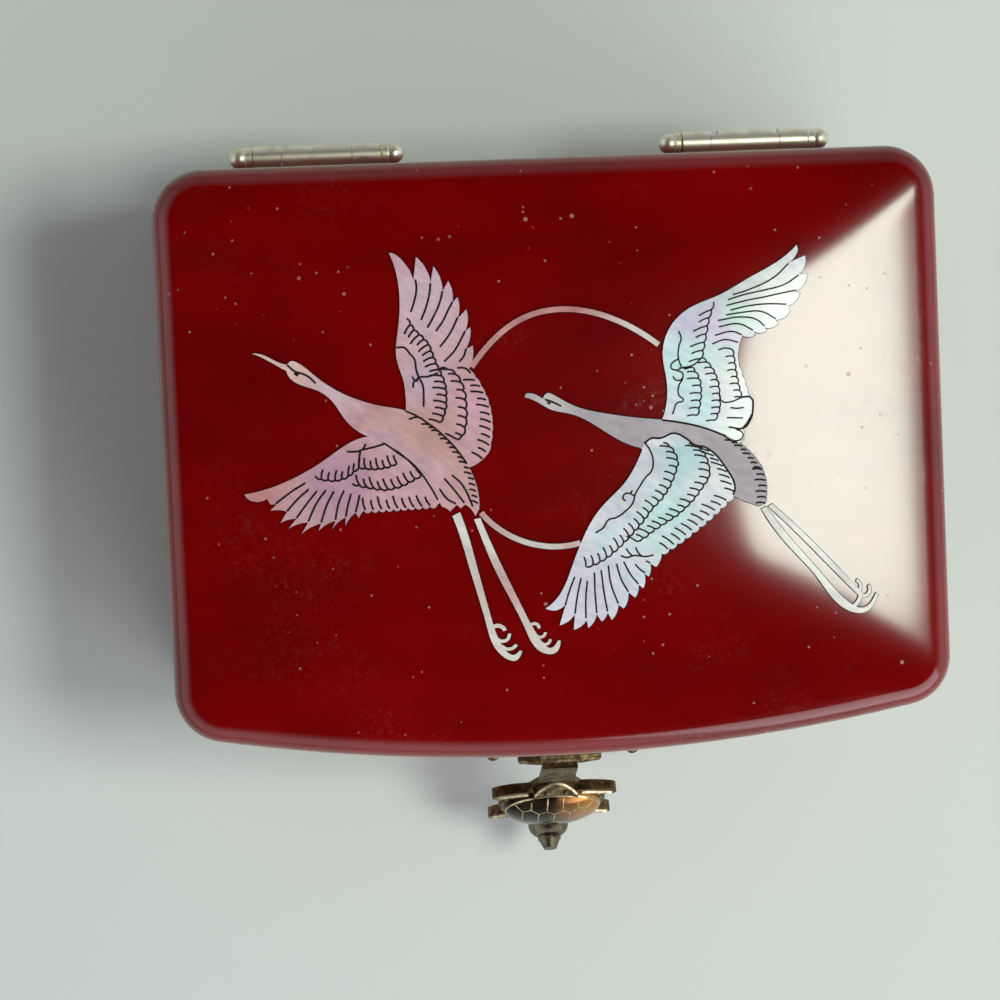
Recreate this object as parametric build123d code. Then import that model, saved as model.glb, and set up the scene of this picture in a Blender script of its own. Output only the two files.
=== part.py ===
from build123d import *
import math
import os

# Lacquered jewellery box with a bowed front. Millimetres: X right, Y to the back, Z up from the felt.

# Case and lid
BOX_WIDTH = 152.0
BOX_DEPTH = 116.0          # flat back to the foremost point of the bow
BOW_RADIUS = 370.0         # bowed front, seen from above
CORNER_RADIUS = 10.0       # upright corners
WALL = 8.0                 # case walls and lid rails
FELT = 1.0
FELT_INSET = 1.5
BASE_BOARD = 4.0
CASE_RIM = 40.0            # height of the case rim
RIM_GAP = 0.4              # between the rims when the lid is shut
RAIL_HEIGHT = 20.9
PANEL_EDGE = 3.7           # upright edge of the top panel, below its arris
ARRIS = 4.0                # rounding between that edge and the crown
CROWN = 6.5                # rise of the crown over its own rim
CROWN_POWER = 2.2          # how late the crown falls away
HIP_SOFTNESS = 0.25        # rounding where the crown's four slopes meet

# Velvet and mirror
LINING = 1.4
LINING_DROP = 0.6          # top of the linings below the case rim
PAD = 2.0
SOFT_GAP = 0.1             # between velvet pieces and their neighbours
DIVIDER = 2.4
DIVIDER_HEIGHT = 23.0
LONG_DIVIDER_Y = 10.0
CROSS_DIVIDER_X = 22.0
ROLL_COUNT = 4
ROLL_HEIGHT = 24.0
MIRROR_WIDTH = 110.0
MIRROR_DEPTH = 75.0
MIRROR_THICKNESS = 2.0
MIRROR_CORNER = 3.0
MIRROR_Y = 3.5
BACKING = 1.2
BORDER_HEIGHT = 4.0        # padded velvet round the mirror, above the lining of the rails

# Hinges
HINGE_INSET = 32.5         # middle of each hinge from the side of the box
HINGE_OUT = 4.0            # pin axis behind the flat back
KNUCKLE_DIAMETER = 4.6
CENTRE_KNUCKLE = 14.1
OUTER_KNUCKLE = 5.7
KNUCKLE_GAP = 0.1
LEAF = 0.9
LEAF_DEPTH = 7.0           # length of leaf let into each rim
LEAF_FIT = 0.05
HINGE_PIN = 2.0
RUNNING_FIT = 0.05         # radial play of a pin in the knuckle that turns
TIGHT_FIT = 0.01           # radial play of a pin in the knuckles that hold it
FINIAL_RING = 1.9
FINIAL_EDGE = 0.45
FINIAL_RING_DIAMETER = 4.4
BALL_DIAMETER = 4.2
BALL_LENGTH = 2.85         # how far the ball stands out of its ring
STOP_WIDTH = 1.6
STOP_DEPTH = 0.7
STOP_PLAY = 0.1
STOP_ANGLE = -60.0         # middle of the stop tongue, from straight back towards up
STOP_HALF = 11.0
LID_OPENING = 100.0        # degrees
SCREW_X = 8.0
SCREW_HEAD = 3.2
SCREW_SHANK = 1.6
SCREW_LENGTH = 6.0
SCREW_SLOT = 0.4

# Latch
PLATE = 1.6                # both latch plates
LID_PLATE_RISE = 9.0       # top of the lid plate above the hasp pin
LID_PLATE_WIDTH = 31.0
LID_PLATE_HEIGHT = 8.2     # straight part, above its lobes
LID_LOBE = 3.4
CASE_LOBE = 4.2
CASE_PLATE_RADIUS = 9.0
HASP_PIN_OUT = 3.4         # pin axis in front of the bow
HASP_PIN_Z = 44.4
HASP_PIN = 1.6
HASP_PIN_LENGTH = 17.0
HASP_KNUCKLE = 3.0
HASP_KNUCKLE_LENGTH = 8.3
SIDE_KNUCKLE_LENGTH = 4.0
NAIL_HEAD = 2.8
NAIL_RISE = 1.2
NAIL_SHANK = 1.0
NAIL_LENGTH = 5.0
LID_NAIL_X = 14.0
LID_NAIL_RISE = 6.5        # nails of the lid plate above the hasp pin
CATCH_DROP = 22.4          # catch stud below the hasp pin
CATCH_BALL = 4.0
CATCH_NECK = 2.6
CATCH_RISE = 2.2           # middle of the ball in front of the hasp pin
CATCH_ROSETTE = 6.0

# Turtle hasp, drawn shut and then lifted about its pin
HASP_LIFT = 26.0           # degrees away from the box
HASP_BACK = 1.2            # back of the casting in front of the pin axis
CASTING = 1.3
STRAP_WIDTH = 7.2
SHELL_WIDTH = 20.6
SHELL_LENGTH = 18.8
SHELL_RISE = 3.7
SHELL_WALL = 1.1
SHELL_RIM = 1.0            # margin of the casting round the shell
COLLAR = 0.8               # rim of the casting that lifts the shell
SLOT_PLAY = 0.3            # round the catch ball as it passes the casting
SLOT_SWING = 1.2           # more length for the ball's arc
HEAD_WIDTH = 9.4
HEAD_LENGTH = 4.1          # from the nose to the shell
HEAD_HEIGHT = 2.2
EYE = 1.2
FOOT_REACH = 13.0          # from the middle line to the tip of a foot
FOOT_LENGTH = 9.8
FOOT_WIDTH = 3.6
FOOT_THICKNESS = 2.2
KNOB_SET = 11.1            # knob axis below the middle of the shell
KNOB_DIAMETER = 8.6
KNOB_LENGTH = 7.3
KNOB_WIDEST = 1.9          # height of the ball's widest place
KNOB_RING_HEIGHT = 4.6
KNOB_RING = 4.9
KNOB_TIP = 2.7

# Shell inlay on the crown
INLAY = 0.35
SEAT_PLAY = 0.01           # thickness of glue or air under a seated piece
RING_BAND = 1.05

# Levels and axes that follow from the sizes above
BACK_Y = BOX_DEPTH / 2
BOW_CENTRE_Y = BOW_RADIUS - BOX_DEPTH / 2
FLOOR_Z = FELT + BASE_BOARD
PAD_TOP_Z = FLOOR_Z + PAD
RAIL_Z = CASE_RIM + RIM_GAP
PANEL_Z = RAIL_Z + RAIL_HEIGHT
ARRIS_Z = PANEL_Z + PANEL_EDGE
CROWN_RIM_Z = ARRIS_Z + ARRIS
HINGE_X = BOX_WIDTH / 2 - HINGE_INSET
HINGE_Y = BACK_Y + HINGE_OUT
HINGE_Z = CASE_RIM + RIM_GAP / 2
BARREL = CENTRE_KNUCKLE + 2 * OUTER_KNUCKLE
HASP_PIN_Y = -BOX_DEPTH / 2 - HASP_PIN_OUT
CATCH_Z = HASP_PIN_Z - CATCH_DROP
CATCH_REACH = HASP_PIN_OUT + CATCH_RISE - PLATE
LID_NAIL_Z = HASP_PIN_Z + LID_NAIL_RISE
SHELL_V = CATCH_DROP
KNOB_DROP = SHELL_V + KNOB_SET
HASP_FRONT = HASP_BACK + CASTING
SHELL_SEAT = HASP_FRONT + COLLAR
SHELL_ROOT = SHELL_V - SHELL_LENGTH / 2
LINED = WALL + SOFT_GAP + LINING


def bow_y(x, inset=0.0):
    """Y of the bowed front at x, moved inwards by inset."""
    return BOW_CENTRE_Y - math.sqrt((BOW_RADIUS - inset) ** 2 - x ** 2)


def footprint(inset=0.0):
    """Plan of the box, moved inwards by inset."""
    half = BOX_WIDTH / 2 - inset
    back = BACK_Y - inset
    front = bow_y(half, inset)
    sides = Polyline((-half, front), (-half, back), (half, back), (half, front))
    bow = ThreePointArc((half, front), (0, bow_y(0, inset)), (-half, front))
    plan = make_face([*sides.edges(), bow.edge()])
    return fillet(plan.vertices(), max(CORNER_RADIUS - inset, 1.0))


def prism(face, bottom, top):
    """Upright solid of a plan between two heights."""
    return extrude(Pos(0, 0, bottom) * face, amount=top - bottom)


def box_between(x0, x1, y0, y1, z0, z1):
    """Block between two corners."""
    return Pos((x0 + x1) / 2, (y0 + y1) / 2, (z0 + z1) / 2) * Box(x1 - x0, y1 - y0, z1 - z0)


def mitre_point(depth, side, back):
    """Point on a corner's mitre line: side is -1 left or 1 right, depth is inwards."""
    half = BOX_WIDTH / 2 - depth
    return (side * half, BACK_Y - depth if back else bow_y(half, depth))


def mitred_boards(outer, inner, bottom, top):
    """Four boards of a frame between two insets, cut along the mitre lines: front, back, left, right."""
    frame = prism(footprint(outer) - footprint(inner), bottom, top)
    out, deep = -WALL, 2.5 * WALL
    fl, fr = mitre_point(out, -1, False), mitre_point(out, 1, False)
    bl, br = mitre_point(out, -1, True), mitre_point(out, 1, True)
    fli, fri = mitre_point(deep, -1, False), mitre_point(deep, 1, False)
    bli, bri = mitre_point(deep, -1, True), mitre_point(deep, 1, True)
    beyond = -BOX_DEPTH
    quarters = (
        [fl, (fl[0], beyond), (fr[0], beyond), fr, fri, fli],
        [bl, bli, bri, br],
        [fl, fli, bli, bl],
        [fr, br, bri, fri],
    )
    return [frame & prism(make_face(Polyline(*q, close=True)), bottom, top) for q in quarters]


def crown_z(x, y):
    """Height of the crown: it swells up from all four edges, with soft hips between its slopes."""
    front = bow_y(x)
    half = (BACK_Y - front) / 2
    across = 1 - (abs(x) / (BOX_WIDTH / 2)) ** CROWN_POWER
    along = 1 - (abs(y - (BACK_Y - half)) / half) ** CROWN_POWER
    share = min(1.0, max(0.0, 0.5 + 0.5 * (along - across) / HIP_SOFTNESS))
    swell = along * (1 - share) + across * share - HIP_SOFTNESS * share * (1 - share)
    return CROWN_RIM_Z + CROWN * swell


def crown_face(overhang=4.0, step=4.0):
    """Crown as one smooth face, a little larger than the plan."""
    columns = round((BOX_WIDTH + 2 * overhang) / step)
    rows = round((BOX_DEPTH + 2 * overhang) / step)
    xs = [(BOX_WIDTH + 2 * overhang) * (i / columns - 0.5) for i in range(columns + 1)]
    ys = [(BOX_DEPTH + 2 * overhang) * (j / rows - 0.5) for j in range(rows + 1)]
    return Face.make_surface_from_array_of_points([[(x, y, crown_z(x, y)) for x in xs] for y in ys])


# Case carcass


def hinge_mortises(bottom, top):
    """Pockets for the leaves of both hinges in one rim."""
    half = BARREL / 2 + LEAF_FIT
    front = BACK_Y - LEAF_DEPTH - LEAF_FIT
    return [box_between(x - half, x + half, front, BACK_Y + WALL, bottom, top) for x in (-HINGE_X, HINGE_X)]


def pilot_holes(bottom, top):
    """Holes for the hinge screws of one rim."""
    hole = Cylinder(SCREW_SHANK / 2, top - bottom, align=(Align.CENTER, Align.CENTER, Align.MIN))
    return [Pos(x, y, bottom) * hole for x, y in screw_places()]


def screw_places():
    """Plan positions of the hinge screws, two in each leaf."""
    y = BACK_Y - LEAF_DEPTH / 2
    return [(hinge + dx, y) for hinge in (-HINGE_X, HINGE_X) for dx in (-SCREW_X, SCREW_X)]


def make_case_walls():
    """Mitred walls, the back one mortised for its hinge leaves, the front one bored for the latch."""
    front, back, left, right = mitred_boards(0, WALL, FELT, CASE_RIM)
    back -= hinge_mortises(CASE_RIM - LEAF - LEAF_FIT, CASE_RIM + RIM_GAP)
    back -= pilot_holes(CASE_RIM - LEAF - SCREW_LENGTH, CASE_RIM)
    front -= [nail_hole(x, z) for x, z in case_nail_places()]
    front -= catch_bore()
    return {"front_wall": front, "back_wall": back, "left_wall": left, "right_wall": right}


def make_base():
    """Plywood base let in between the walls, and the felt glued under both."""
    board = prism(footprint(WALL), FELT, FLOOR_Z)
    felt = prism(footprint(FELT_INSET), 0, FELT)
    return {"base_board": board, "base_felt": felt}


# Velvet inside the case


def make_linings():
    """Velvet-covered cards on the four walls and the pad on the floor."""
    names = ("front_lining", "back_lining", "left_lining", "right_lining")
    boards = mitred_boards(WALL + SOFT_GAP, LINED, FLOOR_Z, CASE_RIM - LINING_DROP)
    nodes = dict(zip(names, boards))
    nodes["floor_pad"] = prism(footprint(LINED + SOFT_GAP), FLOOR_Z, PAD_TOP_Z)
    return nodes


def make_dividers():
    """Long divider between rings and front, and the two cross dividers in front of it."""
    inside = prism(footprint(LINED + SOFT_GAP), PAD_TOP_Z, PAD_TOP_Z + DIVIDER_HEIGHT)
    half = DIVIDER / 2
    top = PAD_TOP_Z + DIVIDER_HEIGHT
    span = (-BOX_WIDTH / 2, BOX_WIDTH / 2)
    long_divider = inside & box_between(*span, LONG_DIVIDER_Y - half, LONG_DIVIDER_Y + half, PAD_TOP_Z, top)
    reach = (-BOX_DEPTH, LONG_DIVIDER_Y - half - SOFT_GAP)
    left, right = [
        inside & box_between(x - half, x + half, *reach, PAD_TOP_Z, top)
        for x in (-CROSS_DIVIDER_X, CROSS_DIVIDER_X)
    ]
    return {"long_divider": long_divider, "left_divider": left, "right_divider": right}


def make_ring_rolls():
    """Foam rolls covered in velvet, side by side behind the long divider, with rounded tops."""
    front = LONG_DIVIDER_Y + DIVIDER / 2 + SOFT_GAP
    back = BACK_Y - LINED - SOFT_GAP
    pitch = (back - front + SOFT_GAP) / ROLL_COUNT
    width = pitch - SOFT_GAP
    length = BOX_WIDTH - 2 * (LINED + SOFT_GAP)
    straight = ROLL_HEIGHT - width / 2
    rolls = []
    for i in range(ROLL_COUNT):
        y = front + width / 2 + i * pitch
        side = Plane.YZ.offset(-length / 2) * Pos(y, PAD_TOP_Z)
        upright = Pos(0, straight / 2) * Rectangle(width, straight)
        section = upright + Pos(0, straight) * Circle(width / 2)
        rolls.append(extrude(side * section, amount=length))
    corners = prism(footprint(LINED + SOFT_GAP), PAD_TOP_Z, PAD_TOP_Z + ROLL_HEIGHT)
    return {"ring_rolls": Compound([(roll & corners).solid() for roll in rolls])}


# Lid


def make_lid_panel(crown):
    """Solid crowned panel with a rounded arris all round."""
    below = extrude(crown, amount=2 * (CROWN_RIM_Z - PANEL_Z), dir=(0, 0, -1))
    panel = prism(footprint(), PANEL_Z, CROWN_RIM_Z + 2 * CROWN) & below
    top = panel.faces().sort_by(Axis.Z)[-1]
    return {"lid_top": fillet(top.edges(), ARRIS)}


def make_lid_rails():
    """Mitred rails under the panel, in line with the case walls."""
    front, back, left, right = mitred_boards(0, WALL, RAIL_Z, PANEL_Z)
    back -= hinge_mortises(RAIL_Z - RIM_GAP, RAIL_Z + LEAF + LEAF_FIT)
    back -= pilot_holes(RAIL_Z, RAIL_Z + SCREW_LENGTH)
    front -= [nail_hole(x, z) for x, z in lid_nail_places()]
    return {"lid_front_rail": front, "lid_back_rail": back, "lid_left_rail": left, "lid_right_rail": right}


def make_mirror():
    """Mirror on its card, framed by a padded velvet border that fills the lid's recess."""
    plate = RectangleRounded(MIRROR_WIDTH, MIRROR_DEPTH, MIRROR_CORNER)
    room = offset(plate, SOFT_GAP)
    card_z = PANEL_Z - BACKING
    card = prism(Pos(0, MIRROR_Y) * plate, card_z, PANEL_Z)
    glass = prism(Pos(0, MIRROR_Y) * plate, card_z - MIRROR_THICKNESS, card_z)
    border = prism(footprint(WALL + SOFT_GAP) - Pos(0, MIRROR_Y) * room, PANEL_Z - BORDER_HEIGHT, PANEL_Z)
    border += prism(footprint(WALL + SOFT_GAP) - footprint(LINED), RAIL_Z + LINING_DROP, PANEL_Z)
    return {"mirror_backing": card, "mirror": glass, "lid_lining": border}


# Hinges


def along_x(radius, x0, x1):
    """Round bar on the hinge axis between two places."""
    return Pos((x0 + x1) / 2, 0, 0) * Rot(Y=90) * Cylinder(radius, x1 - x0)


def stop_sector(x0, x1, low, high, inner):
    """Part of the barrel's skin between two angles, from straight back towards up."""
    reach = 2 * KNUCKLE_DIAMETER
    count = 8
    angles = [math.radians(low + (high - low) * i / count) for i in range(count + 1)]
    fan = [(0, 0)] + [(reach * math.cos(a), reach * math.sin(a)) for a in angles]
    wedge = extrude(Plane.YZ.offset(x0) * make_face(Polyline(*fan, close=True)), amount=x1 - x0)
    return wedge - along_x(inner, x0 - 1, x1 + 1)


def make_hinge(middle):
    """One stop hinge about its own middle: case leaf, lid leaf and the pin with its ball ends."""
    radius = KNUCKLE_DIAMETER / 2
    half_centre = CENTRE_KNUCKLE / 2
    half = BARREL / 2
    front = BACK_Y - HINGE_Y - LEAF_DEPTH
    face_y = BACK_Y - HINGE_Y
    low = CASE_RIM - HINGE_Z
    high = RAIL_Z - HINGE_Z
    bore = HINGE_PIN / 2
    notch_inner = radius - STOP_DEPTH
    tongue_low, tongue_high = STOP_ANGLE - STOP_HALF, STOP_ANGLE + STOP_HALF

    case_leaf = box_between(-half, half, front, face_y, low - LEAF, low)
    lid_leaf = box_between(-half, half, front, face_y, high, high + LEAF)
    centre = half_centre - KNUCKLE_GAP / 2
    lid_leaf += box_between(-centre, centre, face_y, 0, high, high + LEAF) + along_x(radius, -centre, centre)
    lid_leaf -= along_x(bore + RUNNING_FIT, -half, half)
    barrel = along_x(radius, -half, half)
    for side in (-1, 1):
        inner = side * (half_centre + KNUCKLE_GAP / 2)
        x0, x1 = sorted((inner, side * half))
        case_leaf += box_between(x0, x1, face_y, 0, low - LEAF, low) + along_x(radius, x0, x1)
        tip = inner - side * STOP_WIDTH
        t0, t1 = sorted((inner, tip))
        case_leaf += barrel & stop_sector(t0, t1, tongue_low, tongue_high, notch_inner + STOP_PLAY)
        n0, n1 = sorted((inner, tip - side * STOP_PLAY))
        notch_high = tongue_high + LID_OPENING + 2
        lid_leaf -= stop_sector(n0, n1, tongue_low - 2, notch_high, notch_inner)
    case_leaf -= along_x(bore + TIGHT_FIT, -half, half)

    seat = Pos(0, 0, low) * countersink()
    holes = [Pos(dx, front + LEAF_DEPTH / 2, 0) for dx in (-SCREW_X, SCREW_X)]
    case_leaf -= [hole * seat for hole in holes]
    lid_leaf -= [hole * Pos(0, 0, high + low) * mirror(seat, about=Plane.XY) for hole in holes]

    place = Pos(middle, HINGE_Y, HINGE_Z)
    return place * case_leaf, place * lid_leaf, place * make_hinge_pin()


def countersink():
    """Screw hole of a leaf, its face at zero: a straight bore under a conical seat."""
    seat = Pos(0, 0, -LEAF / 2) * Cone(SCREW_SHANK / 2, SCREW_HEAD / 2 + LEAF_FIT, LEAF)
    return seat + Cylinder(SCREW_SHANK / 2 + LEAF_FIT, 3 * LEAF)


def make_hinge_pin():
    """Pin through the barrel with a turned ring and a ball at each end."""
    half = BARREL / 2
    radius = BALL_DIAMETER / 2
    pin = along_x(HINGE_PIN / 2, -half - FINIAL_RING, half + FINIAL_RING)
    for side in (-1, 1):
        ring = along_x(FINIAL_RING_DIAMETER / 2, *sorted((side * half, side * (half + FINIAL_RING))))
        ring = chamfer(ring.edges().filter_by(GeomType.CIRCLE), FINIAL_EDGE)
        ball = Pos(side * (half + FINIAL_RING + BALL_LENGTH - radius), 0, 0) * Sphere(radius)
        pin += ring + ball
    return pin


def make_screw():
    """Slotted countersunk screw, its head at zero and pointing down."""
    head_height = LEAF - LEAF_FIT
    head = Pos(0, 0, -head_height / 2) * Cone(SCREW_SHANK / 2, SCREW_HEAD / 2, head_height)
    shank = Cylinder(SCREW_SHANK / 2, SCREW_LENGTH, align=(Align.CENTER, Align.CENTER, Align.MAX))
    slot = Box(SCREW_HEAD + 1, SCREW_SLOT, SCREW_SLOT)
    return head + shank - slot


def make_hinges():
    """Both hinges and the screws that hold their leaves."""
    nodes = {}
    for name, x in (("left", -HINGE_X), ("right", HINGE_X)):
        case_leaf, lid_leaf, pin = make_hinge(x)
        nodes[f"{name}_hinge_case_leaf"] = case_leaf
        nodes[f"{name}_hinge_lid_leaf"] = lid_leaf
        nodes[f"{name}_hinge_pin"] = pin
    down = make_screw()
    up = mirror(down, about=Plane.XY)
    nodes["hinge_case_screws"] = Compound([(Pos(x, y, CASE_RIM) * down).solid() for x, y in screw_places()])
    nodes["hinge_lid_screws"] = Compound([(Pos(x, y, RAIL_Z) * up).solid() for x, y in screw_places()])
    return nodes


# Latch plates on the bowed front


def forward(x, z, reach=0.0):
    """Place whose Z axis points out of the bowed front at x, its origin reach in front of it."""
    turn = math.degrees(math.asin(x / BOW_RADIUS))
    return Pos(x, bow_y(x), z) * Rot(Z=turn) * Pos(0, -reach) * Rot(X=90)


def case_nail_places():
    """Nails in the four lobes of the case plate."""
    reach = CASE_PLATE_RADIUS * 0.9
    return [(dx * reach, CATCH_Z + dz * reach) for dx in (-1, 1) for dz in (-0.75, 0.75)]


def lid_nail_places():
    """Nails at the two ends of the lid plate."""
    return [(-LID_NAIL_X, LID_NAIL_Z), (LID_NAIL_X, LID_NAIL_Z)]


def nail_hole(x, z):
    """Bore for one nail, through plate and wood."""
    bore = Cylinder(NAIL_SHANK / 2, NAIL_LENGTH + 2 * PLATE)
    return forward(x, z, PLATE) * Pos(0, 0, PLATE - NAIL_LENGTH / 2) * bore


def make_nail(x, z):
    """Domed nail with its head on the plate."""
    shank = Cylinder(NAIL_SHANK / 2, NAIL_LENGTH, align=(Align.CENTER, Align.CENTER, Align.MAX))
    ball = (NAIL_HEAD ** 2 / 4 + NAIL_RISE ** 2) / (2 * NAIL_RISE)
    head = Pos(0, 0, NAIL_RISE - ball) * Sphere(ball) & Pos(0, 0, NAIL_HEAD / 2) * Box(*[NAIL_HEAD] * 3)
    return (forward(x, z, PLATE + SEAT_PLAY) * (head + shank)).solid()


def plate_blank(thickness):
    """Sheet that follows the bowed front, from its face outwards."""
    centre = Pos(0, BOW_CENTRE_Y)
    ring = centre * Circle(BOW_RADIUS + thickness) - centre * Circle(BOW_RADIUS)
    strip = ring & Pos(0, -BOX_DEPTH / 2) * Rectangle(BOX_WIDTH / 2, BOX_DEPTH / 4)
    return prism(strip, FELT, CROWN_RIM_Z)


def punched(outline):
    """Plate of one outline, drawn in x and z, cut from the curved sheet."""
    through = extrude(Plane.XZ.offset(BOX_DEPTH / 2 - WALL) * outline, amount=2 * WALL)
    return plate_blank(PLATE) & through


def make_lid_plate():
    """Plate with a straight top, lobed lower edge and the two side knuckles of the hasp."""
    top = HASP_PIN_Z + LID_PLATE_RISE
    bottom = top - LID_PLATE_HEIGHT
    outline = Pos(0, (top + bottom) / 2) * Rectangle(LID_PLATE_WIDTH, LID_PLATE_HEIGHT)
    end = LID_PLATE_WIDTH / 2 - LID_LOBE
    for x in (-end, -end / 3, end / 3, end):
        outline += Pos(x, bottom) * Circle(LID_LOBE)
    plate = punched(outline)
    plate -= [nail_hole(x, z) for x, z in lid_nail_places()]
    radius = HASP_KNUCKLE / 2
    inner = HASP_KNUCKLE_LENGTH / 2 + KNUCKLE_GAP
    for side in (-1, 1):
        x0, x1 = sorted((side * inner, side * (inner + SIDE_KNUCKLE_LENGTH)))
        place = Pos(0, HASP_PIN_Y, HASP_PIN_Z)
        petal = Pos(side * (inner + 0.5 * SIDE_KNUCKLE_LENGTH), 0, 0) * Rot(Y=90 * side)
        knuckle = place * petal * Cone(radius, radius * 0.7, SIDE_KNUCKLE_LENGTH)
        wing_y = bow_y(x1) - PLATE / 2
        web = box_between(x0, x1, HASP_PIN_Y, wing_y, HASP_PIN_Z - radius / 2, HASP_PIN_Z + radius / 2)
        plate += knuckle + web
    plate -= Pos(0, HASP_PIN_Y, HASP_PIN_Z) * along_x(HASP_PIN / 2 + TIGHT_FIT, -HASP_PIN_LENGTH, HASP_PIN_LENGTH)
    return plate


def make_case_plate():
    """Round plate with four lobes behind the catch stud."""
    outline = Pos(0, CATCH_Z) * Circle(CASE_PLATE_RADIUS)
    for x, z in case_nail_places():
        outline += Pos(x, z) * Circle(CASE_LOBE)
    plate = punched(outline) - catch_bore()
    return plate - [nail_hole(x, z) for x, z in case_nail_places()]


def catch_bore():
    """Bore for the catch stud's shank."""
    return forward(0, CATCH_Z) * Cylinder(CATCH_NECK / 2, 2 * NAIL_LENGTH)


def make_catch_stud():
    """Turned stud: shank in the wood, rosette on the plate, neck and ball."""
    ball = CATCH_BALL / 2
    shank = Pos(0, 0, CATCH_REACH / 2 - NAIL_LENGTH / 2) * Cylinder(CATCH_NECK / 2, CATCH_REACH + NAIL_LENGTH)
    rosette = Cone(CATCH_ROSETTE / 2, CATCH_NECK / 2, PLATE, align=(Align.CENTER, Align.CENTER, Align.MIN))
    stud = shank + Pos(0, 0, SEAT_PLAY) * rosette + Pos(0, 0, CATCH_REACH) * Sphere(ball)
    return forward(0, CATCH_Z, PLATE) * stud


def make_latch():
    """Plates, nails, catch stud and the pin that the hasp swings on."""
    pin_place = Pos(0, HASP_PIN_Y, HASP_PIN_Z)
    half_pin = HASP_PIN_LENGTH / 2
    return {
        "latch_lid_plate": make_lid_plate(),
        "latch_case_plate": make_case_plate(),
        "latch_lid_nails": Compound([make_nail(x, z) for x, z in lid_nail_places()]),
        "latch_case_nails": Compound([make_nail(x, z) for x, z in case_nail_places()]),
        "catch_stud": make_catch_stud(),
        "hasp_pin": pin_place * along_x(HASP_PIN / 2, -half_pin, half_pin),
    }


# Turtle hasp, about its pin: x across, v down the hanging hasp, rise away from the box


def drawn(face, low, high):
    """Solid of an outline drawn in x and minus v, between two distances in front of the pin."""
    return extrude(Plane.XZ.offset(low) * face, amount=high - low)


def shell_oval(margin):
    """Outline of the shell, grown by a margin."""
    return Pos(0, -SHELL_V) * Ellipse(SHELL_WIDTH / 2 + margin, SHELL_LENGTH / 2 + margin)


def make_turtle_casting():
    """One casting: knuckle, strap, back plate with its catch slot and collar, head and four feet."""
    half = STRAP_WIDTH / 2
    bend = SHELL_ROOT - HEAD_LENGTH
    cheek = HEAD_WIDTH / 2
    strap = make_face(Polyline(
        (-half, 0), (half, 0), (half, -bend), (cheek + 1, -SHELL_ROOT), (cheek, -SHELL_V),
        (-cheek, -SHELL_V), (-cheek - 1, -SHELL_ROOT), (-half, -bend), close=True))
    knob_root = Pos(0, -KNOB_DROP) * Circle(KNOB_DIAMETER / 2)
    width = CATCH_BALL + 2 * SLOT_PLAY
    slot = Pos(0, -CATCH_DROP) * RectangleRounded(width, width + SLOT_SWING, width * 0.45)
    plate = drawn(strap + shell_oval(SHELL_RIM) + knob_root - slot, HASP_BACK, HASP_FRONT)
    collar = drawn(shell_oval(SHELL_RIM / 2) - shell_oval(-SHELL_WALL), HASP_FRONT, SHELL_SEAT)
    limbs = turtle_head() + turtle_feet()
    limbs -= drawn(shell_oval(SEAT_PLAY), HASP_FRONT, SHELL_SEAT + SHELL_RISE)
    half_knuckle = HASP_KNUCKLE_LENGTH / 2
    knuckle = along_x(HASP_KNUCKLE / 2, -half_knuckle, half_knuckle)
    casting = plate + collar - knob_room() + limbs + knuckle
    return casting - along_x(HASP_PIN / 2 + RUNNING_FIT, -half_knuckle - 1, half_knuckle + 1)


def turtle_head():
    """Head that rises from a thin nose on the strap to the shell's rim, with two round eyes."""
    nose = SHELL_ROOT - HEAD_LENGTH
    cheek = HEAD_WIDTH / 2
    back = SHELL_ROOT + SHELL_RIM
    outline = make_face([
        Line((-cheek, -back), (cheek, -back)),
        ThreePointArc((cheek, -back), (cheek * 0.68, -nose - (back - nose) * 0.34), (0, -nose)),
        ThreePointArc((0, -nose), (-cheek * 0.68, -nose - (back - nose) * 0.34), (-cheek, -back)),
    ])
    low = HASP_FRONT - CASTING / 2
    top = HASP_FRONT + HEAD_HEIGHT
    wedge = make_face(Polyline((-low, -nose), (-HASP_FRONT, -nose), (-top, -back), (-low, -back), close=True))
    slope = extrude(Plane.YZ.offset(-cheek) * wedge, amount=2 * cheek)
    eye_v = (nose + 2 * back) / 3
    rise = HASP_FRONT + HEAD_HEIGHT * 0.62
    eyes = [Pos(side * cheek * 0.42, -rise, -eye_v) * Sphere(EYE / 2) for side in (-1, 1)]
    return (drawn(outline, low, top) & slope) + eyes


def turtle_feet():
    """Four flippers that reach out from under the shell, the front pair higher and flatter."""
    feet = []
    for down, turn in ((-0.81, 12), (0.6, 18)):
        v = SHELL_V + down * SHELL_LENGTH / 2
        middle = FOOT_REACH - FOOT_LENGTH / 2 * math.cos(math.radians(turn))
        for side in (-1, 1):
            blade = Pos(side * middle, -v) * Rot(Z=-side * turn) * Ellipse(FOOT_LENGTH / 2, FOOT_WIDTH / 2)
            feet.append(drawn(blade, HASP_BACK, HASP_BACK + FOOT_THICKNESS))
    return feet


def knob_room():
    """Room for the foot of the knob in the shell and its collar."""
    return drawn(Pos(0, -KNOB_DROP) * Circle(KNOB_DIAMETER / 2 + SOFT_GAP), HASP_FRONT, SHELL_SEAT + SHELL_RISE)


def make_turtle_shell():
    """Hollow oval dome on the casting's front, room for the catch ball inside."""
    radius = SHELL_WIDTH / 2
    outer = dome(radius, SHELL_RISE)
    inner = dome(radius - SHELL_WALL, SHELL_RISE - SHELL_WALL)
    shell = scale(outer - inner, by=(1, SHELL_LENGTH / SHELL_WIDTH, 1))
    return Pos(0, -SHELL_SEAT, -SHELL_V) * Rot(X=90) * shell - knob_room()


def dome(radius, rise):
    """Half of a flattened ball on the XY plane."""
    profile = Ellipse(radius, rise) & Pos(radius / 2, rise / 2) * Rectangle(radius, rise)
    return revolve(Plane.XZ * profile, Axis.Z)


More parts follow.
